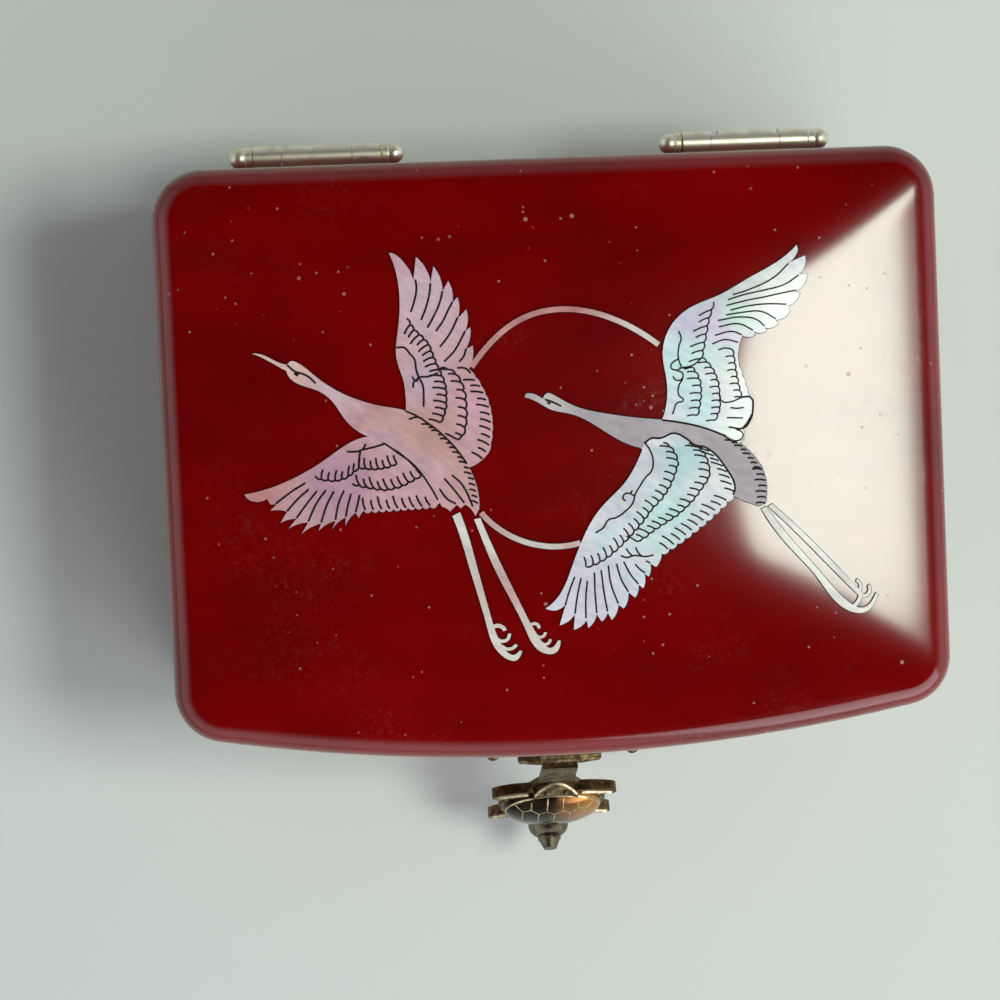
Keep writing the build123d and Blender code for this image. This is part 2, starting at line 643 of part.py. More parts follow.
def make_pull_knob():
    """Turned knob on the casting's tail: flattened ball, ring and cone tip."""
    radius = KNOB_DIAMETER / 2
    ring = KNOB_RING / 2
    waist = ring - 0.2
    ring_top = KNOB_RING_HEIGHT + 0.7
    profile = make_face([
        Line((0, 0), (radius * 0.84, 0)),
        ThreePointArc((radius * 0.84, 0), (radius, KNOB_WIDEST), (waist, KNOB_RING_HEIGHT)),
        Polyline((waist, KNOB_RING_HEIGHT), (ring, KNOB_RING_HEIGHT + 0.1), (ring, ring_top), (waist, ring_top + 0.1),
                 (KNOB_TIP / 2, KNOB_LENGTH), (0, KNOB_LENGTH), (0, 0)),
    ])
    return Pos(0, -HASP_FRONT, -KNOB_DROP) * Rot(X=90) * revolve(Plane.XZ * profile, Axis.Z)


def make_hasp():
    """The hasp's three pieces, lifted off the catch about the pin."""
    lifted = Pos(0, HASP_PIN_Y, HASP_PIN_Z) * Rot(X=-HASP_LIFT)
    return {
        "turtle_casting": lifted * make_turtle_casting(),
        "turtle_shell": lifted * make_turtle_shell(),
        "pull_knob": lifted * make_pull_knob(),
    }


# Inlay: cranes and moon, drawn on the plan of the lid


class Pen:
    """Draws one closed outline, stroke by stroke."""

    def __init__(self, x, y):
        self.start = (x, y)
        self.at = (x, y)
        self.edges = []

    def line(self, *points):
        """Straight strokes to each point in turn."""
        for point in points:
            self.edges.append(Line(self.at, point))
            self.at = point
        return self

    def curve(self, *points):
        """One smooth stroke through the points."""
        self.edges.append(Spline(self.at, *points))
        self.at = points[-1]
        return self

    def bulge(self, end, share):
        """Arc to a point, bulging by a share of its chord: positive to the left of the stroke."""
        chord = math.dist(self.at, end)
        self.edges.append(SagittaArc(self.at, end, share * chord))
        self.at = end
        return self

    def quills(self, out, back, *points):
        """Flight feathers: out to each tip and back to each notch, with their own bulges."""
        for i, point in enumerate(points):
            share = back if i % 2 else out
            self.bulge(point, share) if share else self.line(point)
        return self

    def scallops(self, count, end, sweep, share):
        """Row of rounded feather ends along a shallow bow that leaves its chord by the share sweep."""
        x, y = self.at
        dx, dy = end[0] - x, end[1] - y
        for i in range(1, count + 1):
            t = i / count
            off = 4 * sweep * t * (1 - t)
            self.bulge((x + dx * t - dy * off, y + dy * t + dx * off), share)
        return self

    def face(self):
        """The closed outline as a flat face."""
        if math.dist(self.at, self.start) > 1e-6:
            self.line(self.start)
        return make_face(self.edges)


def left_crane_outlines():
    """Crane that flies to the left: body with neck and beak, both wings and the legs."""
    body = Pen(-58.2, 22.5)
    body.curve((-56.4, 22.3), (-54.6, 21.4), (-53.1, 20.6), (-51.6, 20.15))
    body.curve((-50.9, 20.8), (-49.6, 20.4), (-46.8, 18.1), (-42.7, 15.0), (-38.3, 12.85), (-33.8, 11.5),
               (-29.9, 10.6), (-25.9, 8.2), (-21.3, 3.9), (-18.6, 0.0), (-17.2, -3.3), (-16.6, -8.6))
    body.quills(0, -0.08, (-17.4, -10.0), (-19.2, -7.7), (-20.2, -8.4), (-20.9, -7.7), (-22.2, -8.9), (-23.7, -7.9))
    body.curve((-25.6, -4.2), (-28.7, 0.3), (-33.8, 4.5), (-37.9, 6.4), (-41.1, 9.2), (-43.1, 12.4),
               (-45.7, 14.8), (-49.4, 16.3), (-51.2, 17.6), (-51.8, 19.0))
    body.curve((-53.6, 20.05), (-56.4, 21.75), (-58.2, 22.5))
    raised = Pen(-29.8, 9.6)
    raised.curve((-29.6, 13.1), (-30.0, 16.6), (-31.0, 20.4), (-30.5, 25.7), (-29.9, 32.4), (-30.6, 37.9), (-31.5, 40.5))
    raised.curve((-30.0, 39.9), (-28.6, 38.3), (-27.7, 37.0)).line((-27.1, 35.1))
    raised.quills(0, 0.09, (-26.4, 39.5), (-23.85, 34.6), (-23.2, 37.6), (-21.7, 32.8), (-20.5, 34.7), (-19.95, 30.5),
                  (-18.95, 31.6), (-19.1, 27.5), (-17.35, 29.2), (-17.8, 25.0), (-16.8, 25.8), (-17.9, 21.6),
                  (-16.5, 22.3), (-17.4, 17.9))
    raised.scallops(9, (-14.4, 1.9), 0.135, 0.09)
    raised.curve((-16.2, 0.2), (-17.5, -0.5), (-19.0, -0.9))
    raised.line((-24.0, 4.0))
    lowered = Pen(-31.5, 1.8)
    lowered.line((-34.2, 4.4))
    lowered.curve((-36.6, 5.9), (-39.8, 5.25), (-45.3, 1.95), (-52.0, -1.6), (-57.0, -3.3), (-60.8, -4.0))
    lowered.curve((-60.2, -4.9), (-58.5, -5.5), (-56.6, -5.0))
    lowered.line((-56.0, -6.1), (-54.8, -6.1))
    lowered.quills(0, 0.07, (-56.1, -7.3), (-52.9, -7.6), (-54.3, -9.7), (-51.2, -9.0), (-52.85, -10.85), (-49.0, -9.8),
                   (-50.45, -12.0), (-46.6, -10.1), (-47.2, -11.5), (-43.85, -9.7), (-44.6, -11.3), (-41.9, -9.1),
                   (-42.1, -10.8), (-40.0, -8.3), (-39.5, -9.4), (-38.4, -8.0))
    lowered.scallops(10, (-24.6, -7.6), 0.0, -0.4)
    lowered.line((-22.5, -6.0))
    return body.face(), raised.face(), lowered.face(), left_crane_legs()


def left_crane_legs():
    """Both legs of the left crane, with hooked toes."""
    first = Pen(-21.8, -9.8)
    first.curve((-18.85, -20.2), (-16.1, -31.0), (-13.85, -36.5), (-10.9, -38.15), (-9.45, -36.3))
    first.line((-9.95, -36.2))
    first.curve((-11.2, -37.0), (-13.3, -34.9), (-15.0, -30.2), (-17.7, -18.7), (-20.3, -9.1))
    second = Pen(-17.7, -10.6)
    second.curve((-14.2, -20.2), (-8.7, -32.1), (-5.6, -36.8), (-3.6, -37.2), (-2.0, -34.7))
    second.line((-2.5, -34.6))
    second.curve((-4.0, -36.0), (-6.4, -33.4), (-9.4, -27.3), (-13.5, -18.0), (-16.5, -10.4))
    toes = [
        hook((-14.7, -31.3), (-13.4, -31.3), (-12.6, -32.2), 0.75),
        hook((-14.0, -33.8), (-12.5, -34.1), (-11.8, -32.8), 0.6),
        hook((-13.3, -35.1), (-11.7, -35.8), (-10.5, -35.0), 0.6),
        hook((-7.5, -31.3), (-6.6, -31.2), (-6.1, -32.1), 0.6),
        hook((-6.7, -33.3), (-5.4, -33.7), (-4.9, -32.9), 0.55),
        hook((-5.8, -34.8), (-4.6, -35.2), (-4.0, -34.3), 0.55),
    ]
    return first.face() + second.face() + toes


def right_crane_outlines():
    """Crane that flies after it: the lowered wing lies over this one's body."""
    body = Pen(-6.9, 12.7)
    body.curve((-5.8, 12.8), (-4.8, 12.4), (-3.6, 11.7))
    body.curve((-2.6, 12.7), (-1.2, 12.1), (2.1, 10.15), (8.2, 8.35), (15.5, 7.1), (21.5, 6.3), (27.1, 4.8),
               (33.2, 2.0), (37.8, -2.7))
    body.scallops(6, (38.5, -10.2), 0.09, 0.1)
    body.line((37.4, -10.7))
    body.curve((34.9, -9.8), (31.0, -7.6))
    body.line((26.0, -2.0), (16.0, 0.5), (14.4, 1.6))
    body.curve((11.7, 2.6), (6.7, 5.8), (1.7, 8.5), (-2.5, 9.7), (-4.6, 11.0), (-7.1, 12.1))
    raised = Pen(19.0, 5.6)
    raised.line((19.0, 6.6))
    raised.curve((20.1, 10.1), (20.2, 14.5), (19.7, 19.0), (21.3, 24.1), (25.5, 27.8), (30.9, 29.85), (37.1, 33.0),
                 (42.8, 35.9), (46.8, 39.0))
    raised.quills(0, 0.1, (47.0, 38.1), (45.0, 35.6))
    raised.quills(0, 0.16, (48.3, 36.9), (46.9, 33.3), (48.6, 33.4), (45.9, 30.0), (46.9, 29.8), (44.4, 27.4),
                  (44.9, 26.5), (41.9, 24.8), (42.4, 24.1), (39.8, 23.4), (40.1, 22.8), (37.6, 22.8), (37.8, 22.1),
                  (35.3, 22.1))
    raised.curve((34.6, 20.1), (34.3, 18.0), (34.5, 16.0))
    raised.scallops(3, (35.9, 11.0), 0.0, 0.12)
    raised.line((36.4, 10.3))
    raised.curve((36.95, 8.6), (36.3, 6.8), (34.5, 4.4))
    raised.curve((34.9, 2.9), (34.1, 1.7), (32.6, 1.6))
    raised.line((24.0, 3.0))
    lowered = Pen(15.4, 2.3)
    lowered.curve((16.8, 3.2), (18.65, 3.2))
    lowered.curve((21.2, 4.1), (23.8, 2.7), (25.0, 1.65))
    lowered.curve((27.5, 1.0), (31.2, -3.3), (32.7, -6.9), (32.3, -8.3))
    lowered.scallops(10, (17.95, -18.9), 0.03, 0.28)
    lowered.quills(0.1, 0, (16.8, -21.4), (15.7, -20.7), (15.3, -23.2), (14.5, -22.5), (14.2, -25.4), (13.3, -24.6),
                   (12.6, -27.1), (11.3, -26.0), (10.3, -29.1), (9.3, -28.3), (7.95, -31.2), (7.2, -29.7),
                   (6.0, -31.4), (5.1, -29.9), (3.4, -32.5), (3.1, -31.0), (0.6, -32.7), (0.9, -29.7),
                   (-2.1, -31.7), (-0.8, -27.7))
    lowered.curve((-3.0, -28.8), (-4.7, -28.3))
    lowered.curve((-2.05, -26.0), (0.3, -21.4), (3.3, -14.5), (6.6, -9.6), (11.2, -5.2), (13.8, -1.4), (15.4, 2.3))
    return body.face(), raised.face(), lowered.face(), right_crane_legs()


def right_crane_legs():
    """Both legs of the right crane."""
    first = Pen(37.7, -11.3)
    first.curve((42.4, -18.2), (48.4, -25.2), (53.4, -31.3), (56.7, -32.5), (60.5, -29.2))
    first.line((60.1, -28.7))
    first.curve((56.5, -31.4), (53.9, -29.7), (49.35, -24.5), (43.3, -17.2), (38.65, -10.9))
    second = Pen(39.1, -10.9)
    second.curve((43.3, -15.0), (51.2, -23.4), (56.9, -29.4))
    second.line((57.5, -28.8))
    second.curve((51.9, -22.6), (44.2, -14.5), (39.9, -10.4))
    toes = [
        hook((56.3, -28.4), (57.0, -27.3), (56.2, -26.1), 0.6),
        hook((57.0, -29.1), (58.5, -28.8), (58.6, -27.2), 0.6),
        hook((55.2, -31.2), (56.4, -30.2), (56.9, -29.0), 0.7),
    ]
    return first.face() + second.face() + toes


def hook(start, middle, end, width):
    """Curved toe of even width."""
    return trace(ThreePointArc(start, middle, end), line_width=width)


def moon_outline():
    """Ring of the moon where the cranes leave it bare: an arc above and one below."""
    above = Spline((-16.9, 18.2), (-13.85, 21.9), (-6.0, 27.35), (1.7, 28.45), (9.4, 26.7), (19.0, 20.95))
    below = Spline((-16.3, -9.4), (-10.15, -14.5), (-1.35, -16.55), (2.4, -16.05))
    return trace(above, line_width=RING_BAND) + trace(below, line_width=RING_BAND)


def make_inlay(crown):
    """Thin pieces of shell that follow the crown, cut to meet each other along one line."""
    sheet = extrude(Pos(0, 0, SEAT_PLAY) * crown, amount=INLAY, dir=(0, 0, 1))
    body, raised, lowered, legs = left_crane_outlines()
    outlines = {
        "left_crane_body": body,
        "left_crane_raised_wing": raised - body,
        "left_crane_lowered_wing": lowered - body,
        "left_crane_legs": legs,
    }
    moon = moon_outline() - raised
    body, raised, lowered, legs = right_crane_outlines()
    outlines["right_crane_body"] = body - lowered
    outlines["right_crane_raised_wing"] = raised - body
    outlines["right_crane_lowered_wing"] = lowered
    outlines["right_crane_legs"] = legs
    outlines["moon_ring"] = moon - raised - lowered
    top = CROWN_RIM_Z + 2 * CROWN
    return {name: prism(face, PANEL_Z, top) & sheet for name, face in outlines.items()}


def main():
    """Write one STEP file for each piece."""
    crown = crown_face()
    nodes = {}
    for group in (make_case_walls(), make_base(), make_linings(), make_dividers(), make_ring_rolls(),
                  make_lid_panel(crown), make_lid_rails(), make_mirror(), make_hinges(), make_latch(),
                  make_hasp(), make_inlay(crown)):
        nodes.update(group)
    os.makedirs("parts", exist_ok=True)
    for name, shape in nodes.items():
        export_step(shape, f"parts/{name}.step")


main()
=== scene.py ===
import bpy
import math
from mathutils import Matrix, Vector, noise
from mathutils.kdtree import KDTree


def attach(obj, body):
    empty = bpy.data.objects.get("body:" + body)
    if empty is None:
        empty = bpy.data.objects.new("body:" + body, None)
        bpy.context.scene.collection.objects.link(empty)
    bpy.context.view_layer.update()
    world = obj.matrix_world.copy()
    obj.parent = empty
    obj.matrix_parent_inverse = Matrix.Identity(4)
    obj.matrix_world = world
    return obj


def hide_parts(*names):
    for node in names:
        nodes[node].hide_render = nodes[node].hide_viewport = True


# Lacquered jewelry box with a bowed front, seen from above: metres, X right, Y to the hinges, Z up.
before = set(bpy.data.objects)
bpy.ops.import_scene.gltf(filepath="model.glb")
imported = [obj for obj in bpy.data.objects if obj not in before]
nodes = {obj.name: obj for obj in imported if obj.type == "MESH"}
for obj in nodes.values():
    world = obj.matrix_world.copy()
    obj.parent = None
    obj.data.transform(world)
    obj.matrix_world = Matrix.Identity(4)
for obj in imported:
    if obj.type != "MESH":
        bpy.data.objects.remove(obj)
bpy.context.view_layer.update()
bpy.ops.object.select_all(action="DESELECT")
mm = 0.001

# Lid: one crowned lacquered shell over four rails.
# The real lid is thin wood, glued and filled, with several coats of red lacquer that hide every joint
# and pull round its edges into a soft roll.
width, depth, bow_radius, corner = 152.0, 116.0, 370.0, 10.0
half_width, back_y = width / 2, depth / 2
bow_centre = bow_radius - back_y
wall, eased, rim_gap = 8.0, 0.5, 0.4
lid_bottom, panel_bottom, crown_rim = 40.4, 61.3, 69.0
crown_rise, crown_fullness, hip_softness = 6.5, 2.2, 0.25


def bow_y(x, inset=0.0):
    """Y of the bowed front at x, moved inwards by inset."""
    return bow_centre - math.sqrt((bow_radius - inset) ** 2 - x ** 2)


def half_of_bow(run, inset, radius, tangent):
    """Point at a length run from the middle of the front towards the right, and round the corner."""
    reach = bow_radius - inset
    if run <= reach * tangent:
        angle = run / reach
        return reach * math.sin(angle), bow_centre - reach * math.cos(angle)
    angle = tangent + (run - reach * tangent) / radius
    x = half_width - corner
    y = bow_centre - math.sqrt((bow_radius - corner) ** 2 - x ** 2)
    return x + radius * math.sin(angle), y - radius * math.cos(angle)


def outline_point(inset, side, share):
    """Point of the plan's outline moved inwards: side 0 is the front, 1 right, 2 back and 3 left."""
    radius = max(corner - inset, 0.0)
    if radius:
        tangent = math.asin((half_width - corner) / (bow_radius - corner))
        front_end = bow_centre - math.sqrt((bow_radius - corner) ** 2 - (half_width - corner) ** 2)
        back_end = back_y - corner
    else:
        tangent = math.asin((half_width - inset) / (bow_radius - inset))
        front_end = bow_y(half_width - inset, inset)
        back_end = back_y - inset
    if side == 0:
        signed = 2 * share - 1
        half = (bow_radius - inset) * tangent + radius * (math.pi / 2 - tangent) / 2
        x, y = half_of_bow(abs(signed) * half, inset, radius, tangent)
        return math.copysign(x, signed), y
    if side == 2:
        signed = 1 - 2 * share
        straight = half_width - max(corner, inset)
        run = abs(signed) * (straight + radius * math.pi / 4)
        if run <= straight:
            return math.copysign(run, signed), back_y - inset
        angle = (run - straight) / radius
        return math.copysign(straight + radius * math.sin(angle), signed), back_end + radius * math.cos(angle)
    upward = share if side == 1 else 1 - share
    front_arc = radius * (math.pi / 2 - tangent) / 2
    straight = back_end - front_end
    run = upward * (front_arc + straight + radius * math.pi / 4)
    centre_x = half_width - max(corner, inset)
    if run < front_arc:
        angle = (math.pi / 2 + tangent) / 2 + run / radius
        x, y = centre_x + radius * math.sin(angle), front_end - radius * math.cos(angle)
    elif run <= front_arc + straight:
        x, y = half_width - inset, front_end + run - front_arc
    else:
        angle = (run - front_arc - straight) / radius
        x, y = centre_x + radius * math.cos(angle), back_end + radius * math.sin(angle)
    return (x, y) if side == 1 else (-x, y)


def crown_z(x, y):
    """Height of the crown, with soft hips between its four slopes."""
    half = (back_y - bow_y(x)) / 2
    across = 1 - (abs(x) / half_width) ** crown_fullness
    along = 1 - (abs(y - (back_y - half)) / half) ** crown_fullness
    share = min(1.0, max(0.0, 0.5 + 0.5 * (along - across) / hip_softness))
    swell = along * (1 - share) + across * share - hip_softness * share * (1 - share)
    return crown_rim + crown_rise * swell


def select_only(piece):
    """Makes one piece the selected and active one."""
    bpy.ops.object.select_all(action="DESELECT")
    piece.select_set(True)
    bpy.context.view_layer.objects.active = piece


def apply_modifier(piece, kind, **settings):
    """Adds one modifier with its settings and applies it."""
    select_only(piece)
    modifier = piece.modifiers.new(kind.lower(), kind)
    for key, value in settings.items():
        setattr(modifier, key, value)
    bpy.ops.object.modifier_apply(modifier=modifier.name)


def settle(piece, angle=40.0):
    """Puts the piece's place into its mesh, points its faces outwards and shades it."""
    select_only(piece)
    bpy.ops.object.transform_apply(location=True, rotation=True, scale=True)
    bpy.ops.object.mode_set(mode="EDIT")
    bpy.ops.mesh.select_all(action="SELECT")
    bpy.ops.mesh.remove_doubles(threshold=0.002 * mm)
    bpy.ops.mesh.normals_make_consistent(inside=False)
    bpy.ops.object.mode_set(mode="OBJECT")
    bpy.ops.object.shade_smooth_by_angle(angle=math.radians(angle))


# The crown is a grid of nested rings, closest on the roll of the edge, that end on a short middle line.
rings, roll_rings, middle = 54, 12, 32
edge_roll, deepest, ridge_y = 4.0, 57.2, 0.3


def ring_inset(k):
    """Inset of each ring: close together on the roll of the edge, then even."""
    if k <= roll_rings:
        return edge_roll * (1 - math.cos(math.pi / 2 * k / roll_rings))
    return edge_roll + (deepest - edge_roll) * (k - roll_rings) / (rings - roll_rings)


def crown_place(i, j):
    """Place of one vertex of the crowned grid."""
    across, along = 2 * rings + middle, 2 * rings
    k = min(i, across - i, j, along - j)
    inset = ring_inset(k)
    if k == rings:
        x = (half_width - deepest) * (2 * (i - rings) / middle - 1)
        y = ridge_y
    elif j == k:
        x, y = outline_point(inset, 0, (i - k) / (across - 2 * k))
    elif i == across - k:
        x, y = outline_point(inset, 1, (j - k) / (along - 2 * k))
    elif j == along - k:
        x, y = outline_point(inset, 2, (across - k - i) / (across - 2 * k))
    else:
        x, y = outline_point(inset, 3, (along - k - j) / (along - 2 * k))
    roll = max(0.0, 1 - inset / edge_roll)
    return x, y, crown_z(x, y) - edge_roll * (1 - math.sqrt(1 - roll ** 2))


across, along = 2 * rings + middle, 2 * rings
bpy.ops.mesh.primitive_grid_add(x_subdivisions=across, y_subdivisions=along, size=2)
lid_shell = bpy.context.active_object
lid_shell.name = "lid_shell"
for vertex in lid_shell.data.vertices:
    i = round((vertex.co.x + 1) / 2 * across)
    j = round((vertex.co.y + 1) / 2 * along)
    vertex.co = Vector(crown_place(i, j)) * mm
sides = ((0, across), (1, along), (2, across), (3, along))
loop = [(side, n / count) for side, count in sides for n in range(count)]


def wrap_down(piece, inset, steps):
    """Extrudes the open edge of a shell, which lies at one inset, through (inset, height) steps."""
    for following, z in steps:
        last = KDTree(len(loop))
        for n, (side, share) in enumerate(loop):
            last.insert((*outline_point(inset, side, share), 0.0), n)
        last.balance()
        select_only(piece)
        bpy.ops.object.mode_set(mode="EDIT")
        bpy.ops.mesh.extrude_region_move()
        bpy.ops.object.mode_set(mode="OBJECT")
        for vertex in piece.data.vertices:
            if vertex.select:
                x, y, _ = vertex.co / mm
                _, n, _ = last.find((x, y, 0.0))
                vertex.co = Vector((*outline_point(following, *loop[n]), z)) * mm
        inset = following


select_only(lid_shell)
bpy.ops.object.mode_set(mode="EDIT")
bpy.ops.mesh.select_all(action="SELECT")
bpy.ops.mesh.region_to_loop()
bpy.ops.object.mode_set(mode="OBJECT")
lid_steps = [(0, panel_bottom), (0, lid_bottom + eased), (0.3 * eased, lid_bottom + 0.3 * eased),
             (eased, lid_bottom), (wall - 0.4, lid_bottom), (wall, lid_bottom + 0.3), (wall, panel_bottom)]
wrap_down(lid_shell, 0, lid_steps)
bpy.ops.object.mode_set(mode="EDIT")
bpy.ops.mesh.edge_face_add()
bpy.ops.object.mode_set(mode="OBJECT")
settle(lid_shell, 50)


hinge_x, pocket_width, pocket_reach, pocket_depth, overshoot = 43.5, 25.6, 7.05, 0.95, 3.0


def leaf_recess(piece, low, high):
    """Cuts the pockets of both hinge leaves into a rim at the back."""
    for x in (-hinge_x, hinge_x):
        bpy.ops.object.select_all(action="DESELECT")
        bpy.ops.mesh.primitive_cube_add(size=1)
        cutter = bpy.context.active_object
        cutter.scale = Vector((pocket_width, pocket_reach + overshoot, high - low)) * mm
        cutter.location = Vector((x, back_y + (overshoot - pocket_reach) / 2, (high + low) / 2)) * mm
        bpy.ops.object.transform_apply(location=True, rotation=True, scale=True)
        apply_modifier(piece, "BOOLEAN", operation="DIFFERENCE", object=cutter, solver="EXACT")
        bpy.data.objects.remove(cutter)


leaf_recess(lid_shell, lid_bottom - rim_gap, lid_bottom + pocket_depth)


def linear(code):
    """Linear colour of an sRGB hex value."""
    parts = [int(code[n:n + 2], 16) / 255 for n in (1, 3, 5)]
    return tuple(c / 12.92 if c <= 0.04045 else ((c + 0.055) / 1.055) ** 2.4 for c in parts) + (1.0,)


def new_material(name):
    """Empty material: its node tree and the shader that ends it."""
    material = bpy.data.materials.new(name)
    material.use_nodes = True
    tree = material.node_tree
    tree.nodes.clear()
    shader = tree.nodes.new("ShaderNodeBsdfPrincipled")
    output = tree.nodes.new("ShaderNodeOutputMaterial")
    tree.links.new(shader.outputs[0], output.inputs["Surface"])
    return material, tree, shader


def add_node(tree, kind, inputs=None, **settings):
    """Adds a node with its settings, then its values and links."""
    made = tree.nodes.new(kind)
    for key, value in settings.items():
        setattr(made, key, value)
    for key, value in (inputs or {}).items():
        if isinstance(value, bpy.types.NodeSocket):
            tree.links.new(value, made.inputs[key])
        else:
            made.inputs[key].default_value = value
    return made


def ramp(tree, source, *stops):
    """Colour ramp through (place, hex) stops."""
    made = add_node(tree, "ShaderNodeValToRGB", {"Fac": source})
    elements = made.color_ramp.elements
    while len(elements) < len(stops):
        elements.new(0.5)
    for element, (place, code) in zip(elements, stops):
        element.position = place
        element.color = linear(code)
    return made.outputs["Color"]


# Red gloss lacquer, sprayed in many coats and rubbed out: deep red under a clear top coat, with faint
# clouds and hairlines, and with pinholes and dust that show as pale specks.
lacquer, tree, shader = new_material("red_gloss_lacquer_polished")
place = add_node(tree, "ShaderNodeTexCoord").outputs["Object"]
clouds = add_node(tree, "ShaderNodeTexNoise", {"Vector": place, "Scale": 22.0, "Detail": 4.0,
                                               "Roughness": 0.55})
tone = ramp(tree, clouds.outputs["Fac"], (0.3, "#680001"), (0.5, "#790001"), (0.7, "#840102"))
streak_place = add_node(tree, "ShaderNodeMapping", {"Vector": place, "Scale": (14.0, 110.0, 110.0)})
streaks = add_node(tree, "ShaderNodeTexNoise", {"Vector": streak_place.outputs[0], "Scale": 1.0,
                                                "Detail": 3.0})
grain = ramp(tree, streaks.outputs["Fac"], (0.35, "#ececec"), (0.65, "#ffffff"))
red = add_node(tree, "ShaderNodeMix", {0: 1.0, 6: tone, 7: grain}, data_type="RGBA", blend_type="MULTIPLY")


def nearness(tree, place, spot, reach, wobble=0.5):
    """Mask that is full at one place, given in millimetres, and falls off softly within its reach."""
    gap = add_node(tree, "ShaderNodeVectorMath", {0: place, 1: [c * mm for c in spot]}, operation="DISTANCE")
    far = add_node(tree, "ShaderNodeMath", {0: wobble, 1: reach * mm, 2: gap.outputs["Value"]},
                   operation="MULTIPLY_ADD")
    near = add_node(tree, "ShaderNodeMapRange", {0: far.outputs[0], 1: 1.5 * reach * mm, 2: 0.7 * reach * mm,
                                                 3: 0.0, 4: 1.0})
    return near.outputs[0]


crown_level, crowding = 75.0, 0.22
dusty_places = ((-46, 31, 22), (18, 20, 20), (24, -36, 16), (48, 36, 14))
crowd = add_node(tree, "ShaderNodeTexNoise", {"Vector": place, "Scale": 38.0, "Detail": 1.0}).outputs["Fac"]
for x, y, reach in dusty_places:
    near = nearness(tree, place, (x, y, crown_level), reach)
    crowd = add_node(tree, "ShaderNodeMath", {0: near, 1: crowding, 2: crowd},
                     operation="MULTIPLY_ADD").outputs[0]


def specks(scale, size, rare, common):
    """Mask of small round spots, closer together where the crowd noise is high."""
    cells = add_node(tree, "ShaderNodeTexVoronoi", {"Vector": place, "Scale": scale})
    dot = add_node(tree, "ShaderNodeMapRange", {0: cells.outputs["Distance"], 1: size, 2: size * 0.55, 3: 0.0,
                                                4: 1.0})
    chance = add_node(tree, "ShaderNodeSeparateColor", {0: cells.outputs["Color"]})
    limit = add_node(tree, "ShaderNodeMapRange", {0: crowd, 1: 0.45, 2: 0.82, 3: rare, 4: common})
    picked = add_node(tree, "ShaderNodeMath", {0: chance.outputs[0], 1: limit.outputs[0]},
                      operation="GREATER_THAN")
    return add_node(tree, "ShaderNodeMath", {0: dot.outputs[0], 1: picked.outputs[0]},
                    operation="MULTIPLY").outputs[0]


pinholes = specks(230.0, 0.12, 0.975, 0.6)
dust = specks(560.0, 0.17, 0.985, 0.62)
spots = add_node(tree, "ShaderNodeMath", {0: pinholes, 1: dust}, operation="MAXIMUM")
faint = add_node(tree, "ShaderNodeMath", {0: spots.outputs[0], 1: 0.55}, operation="MULTIPLY")
spotted = add_node(tree, "ShaderNodeMix", {0: faint.outputs[0], 6: red.outputs[2], 7: linear("#c08a80")},
                   data_type="RGBA")
scuffed = add_node(tree, "ShaderNodeTexNoise", {"Vector": place, "Scale": 34.0, "Detail": 3.0,
                                                "Roughness": 0.7})
scuff = add_node(tree, "ShaderNodeMapRange", {0: scuffed.outputs["Fac"], 1: 0.52, 2: 0.68, 3: 0.0, 4: 1.0})
fluff = add_node(tree, "ShaderNodeTexNoise", {"Vector": place, "Scale": 900.0, "Detail": 6.0,
                                              "Roughness": 0.8})
fleck = add_node(tree, "ShaderNodeMapRange", {0: fluff.outputs["Fac"], 1: 0.5, 2: 0.7, 3: 0.0, 4: 1.0})
worn = add_node(tree, "ShaderNodeMath", {0: scuff.outputs[0], 1: fleck.outputs[0]}, operation="MULTIPLY")
haze = add_node(tree, "ShaderNodeMath", {0: worn.outputs[0], 1: 0.07}, operation="MULTIPLY")
colour = add_node(tree, "ShaderNodeMix", {0: haze.outputs[0], 6: spotted.outputs[2], 7: linear("#b87a74")},
                  data_type="RGBA")
tree.links.new(colour.outputs[2], shader.inputs["Base Color"])
rough = add_node(tree, "ShaderNodeMath", {0: spots.outputs[0], 1: 1.6, 2: worn.outputs[0]},
                 operation="MULTIPLY_ADD")
dull = add_node(tree, "ShaderNodeMapRange", {0: rough.outputs[0], 1: 0.0, 2: 1.0, 3: 0.115, 4: 0.3},
                clamp=False)
tree.links.new(dull.outputs[0], shader.inputs["Roughness"])
shader.inputs["Specular IOR Level"].default_value = 0.5
shader.inputs["Coat Weight"].default_value = 0.2
shader.inputs["Coat Roughness"].default_value = 0.08
shader.inputs["Coat IOR"].default_value = 1.5
lid_shell.data.materials.append(lacquer)
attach(lid_shell, "lid")
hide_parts("lid_top", "lid_front_rail", "lid_back_rail", "lid_left_rail", "lid_right_rail")

# Case: four walls under the same lacquer.
# They are mitred boards, the front one bowed like the lid. Filler and lacquer hide the joints, so the
# walls show as one piece with slightly eased rims.
case_bottom, case_rim, first_inset = 1.0, lid_bottom - rim_gap, 0.35
bpy.ops.object.select_all(action="DESELECT")
bpy.ops.mesh.primitive_circle_add(vertices=2 * (across + along), radius=0.1)
case_shell = bpy.context.active_object
case_shell.name = "case_shell"
for vertex, (side, share) in zip(case_shell.data.vertices, loop):
    vertex.co = Vector((*outline_point(first_inset, side, share), case_bottom)) * mm
case_steps = [(0.1, case_bottom + 0.12), (0, case_bottom + 0.4), (0, case_rim - eased),
              (0.3 * eased, case_rim - 0.3 * eased), (eased, case_rim), (wall - 0.3, case_rim),
              (wall, case_rim - 0.3), (wall, case_bottom)]
select_only(case_shell)
bpy.ops.object.mode_set(mode="EDIT")
bpy.ops.mesh.select_all(action="SELECT")
bpy.ops.object.mode_set(mode="OBJECT")
wrap_down(case_shell, first_inset, case_steps)
bpy.ops.object.mode_set(mode="EDIT")
bpy.ops.mesh.select_all(action="DESELECT")
bpy.ops.mesh.select_non_manifold()
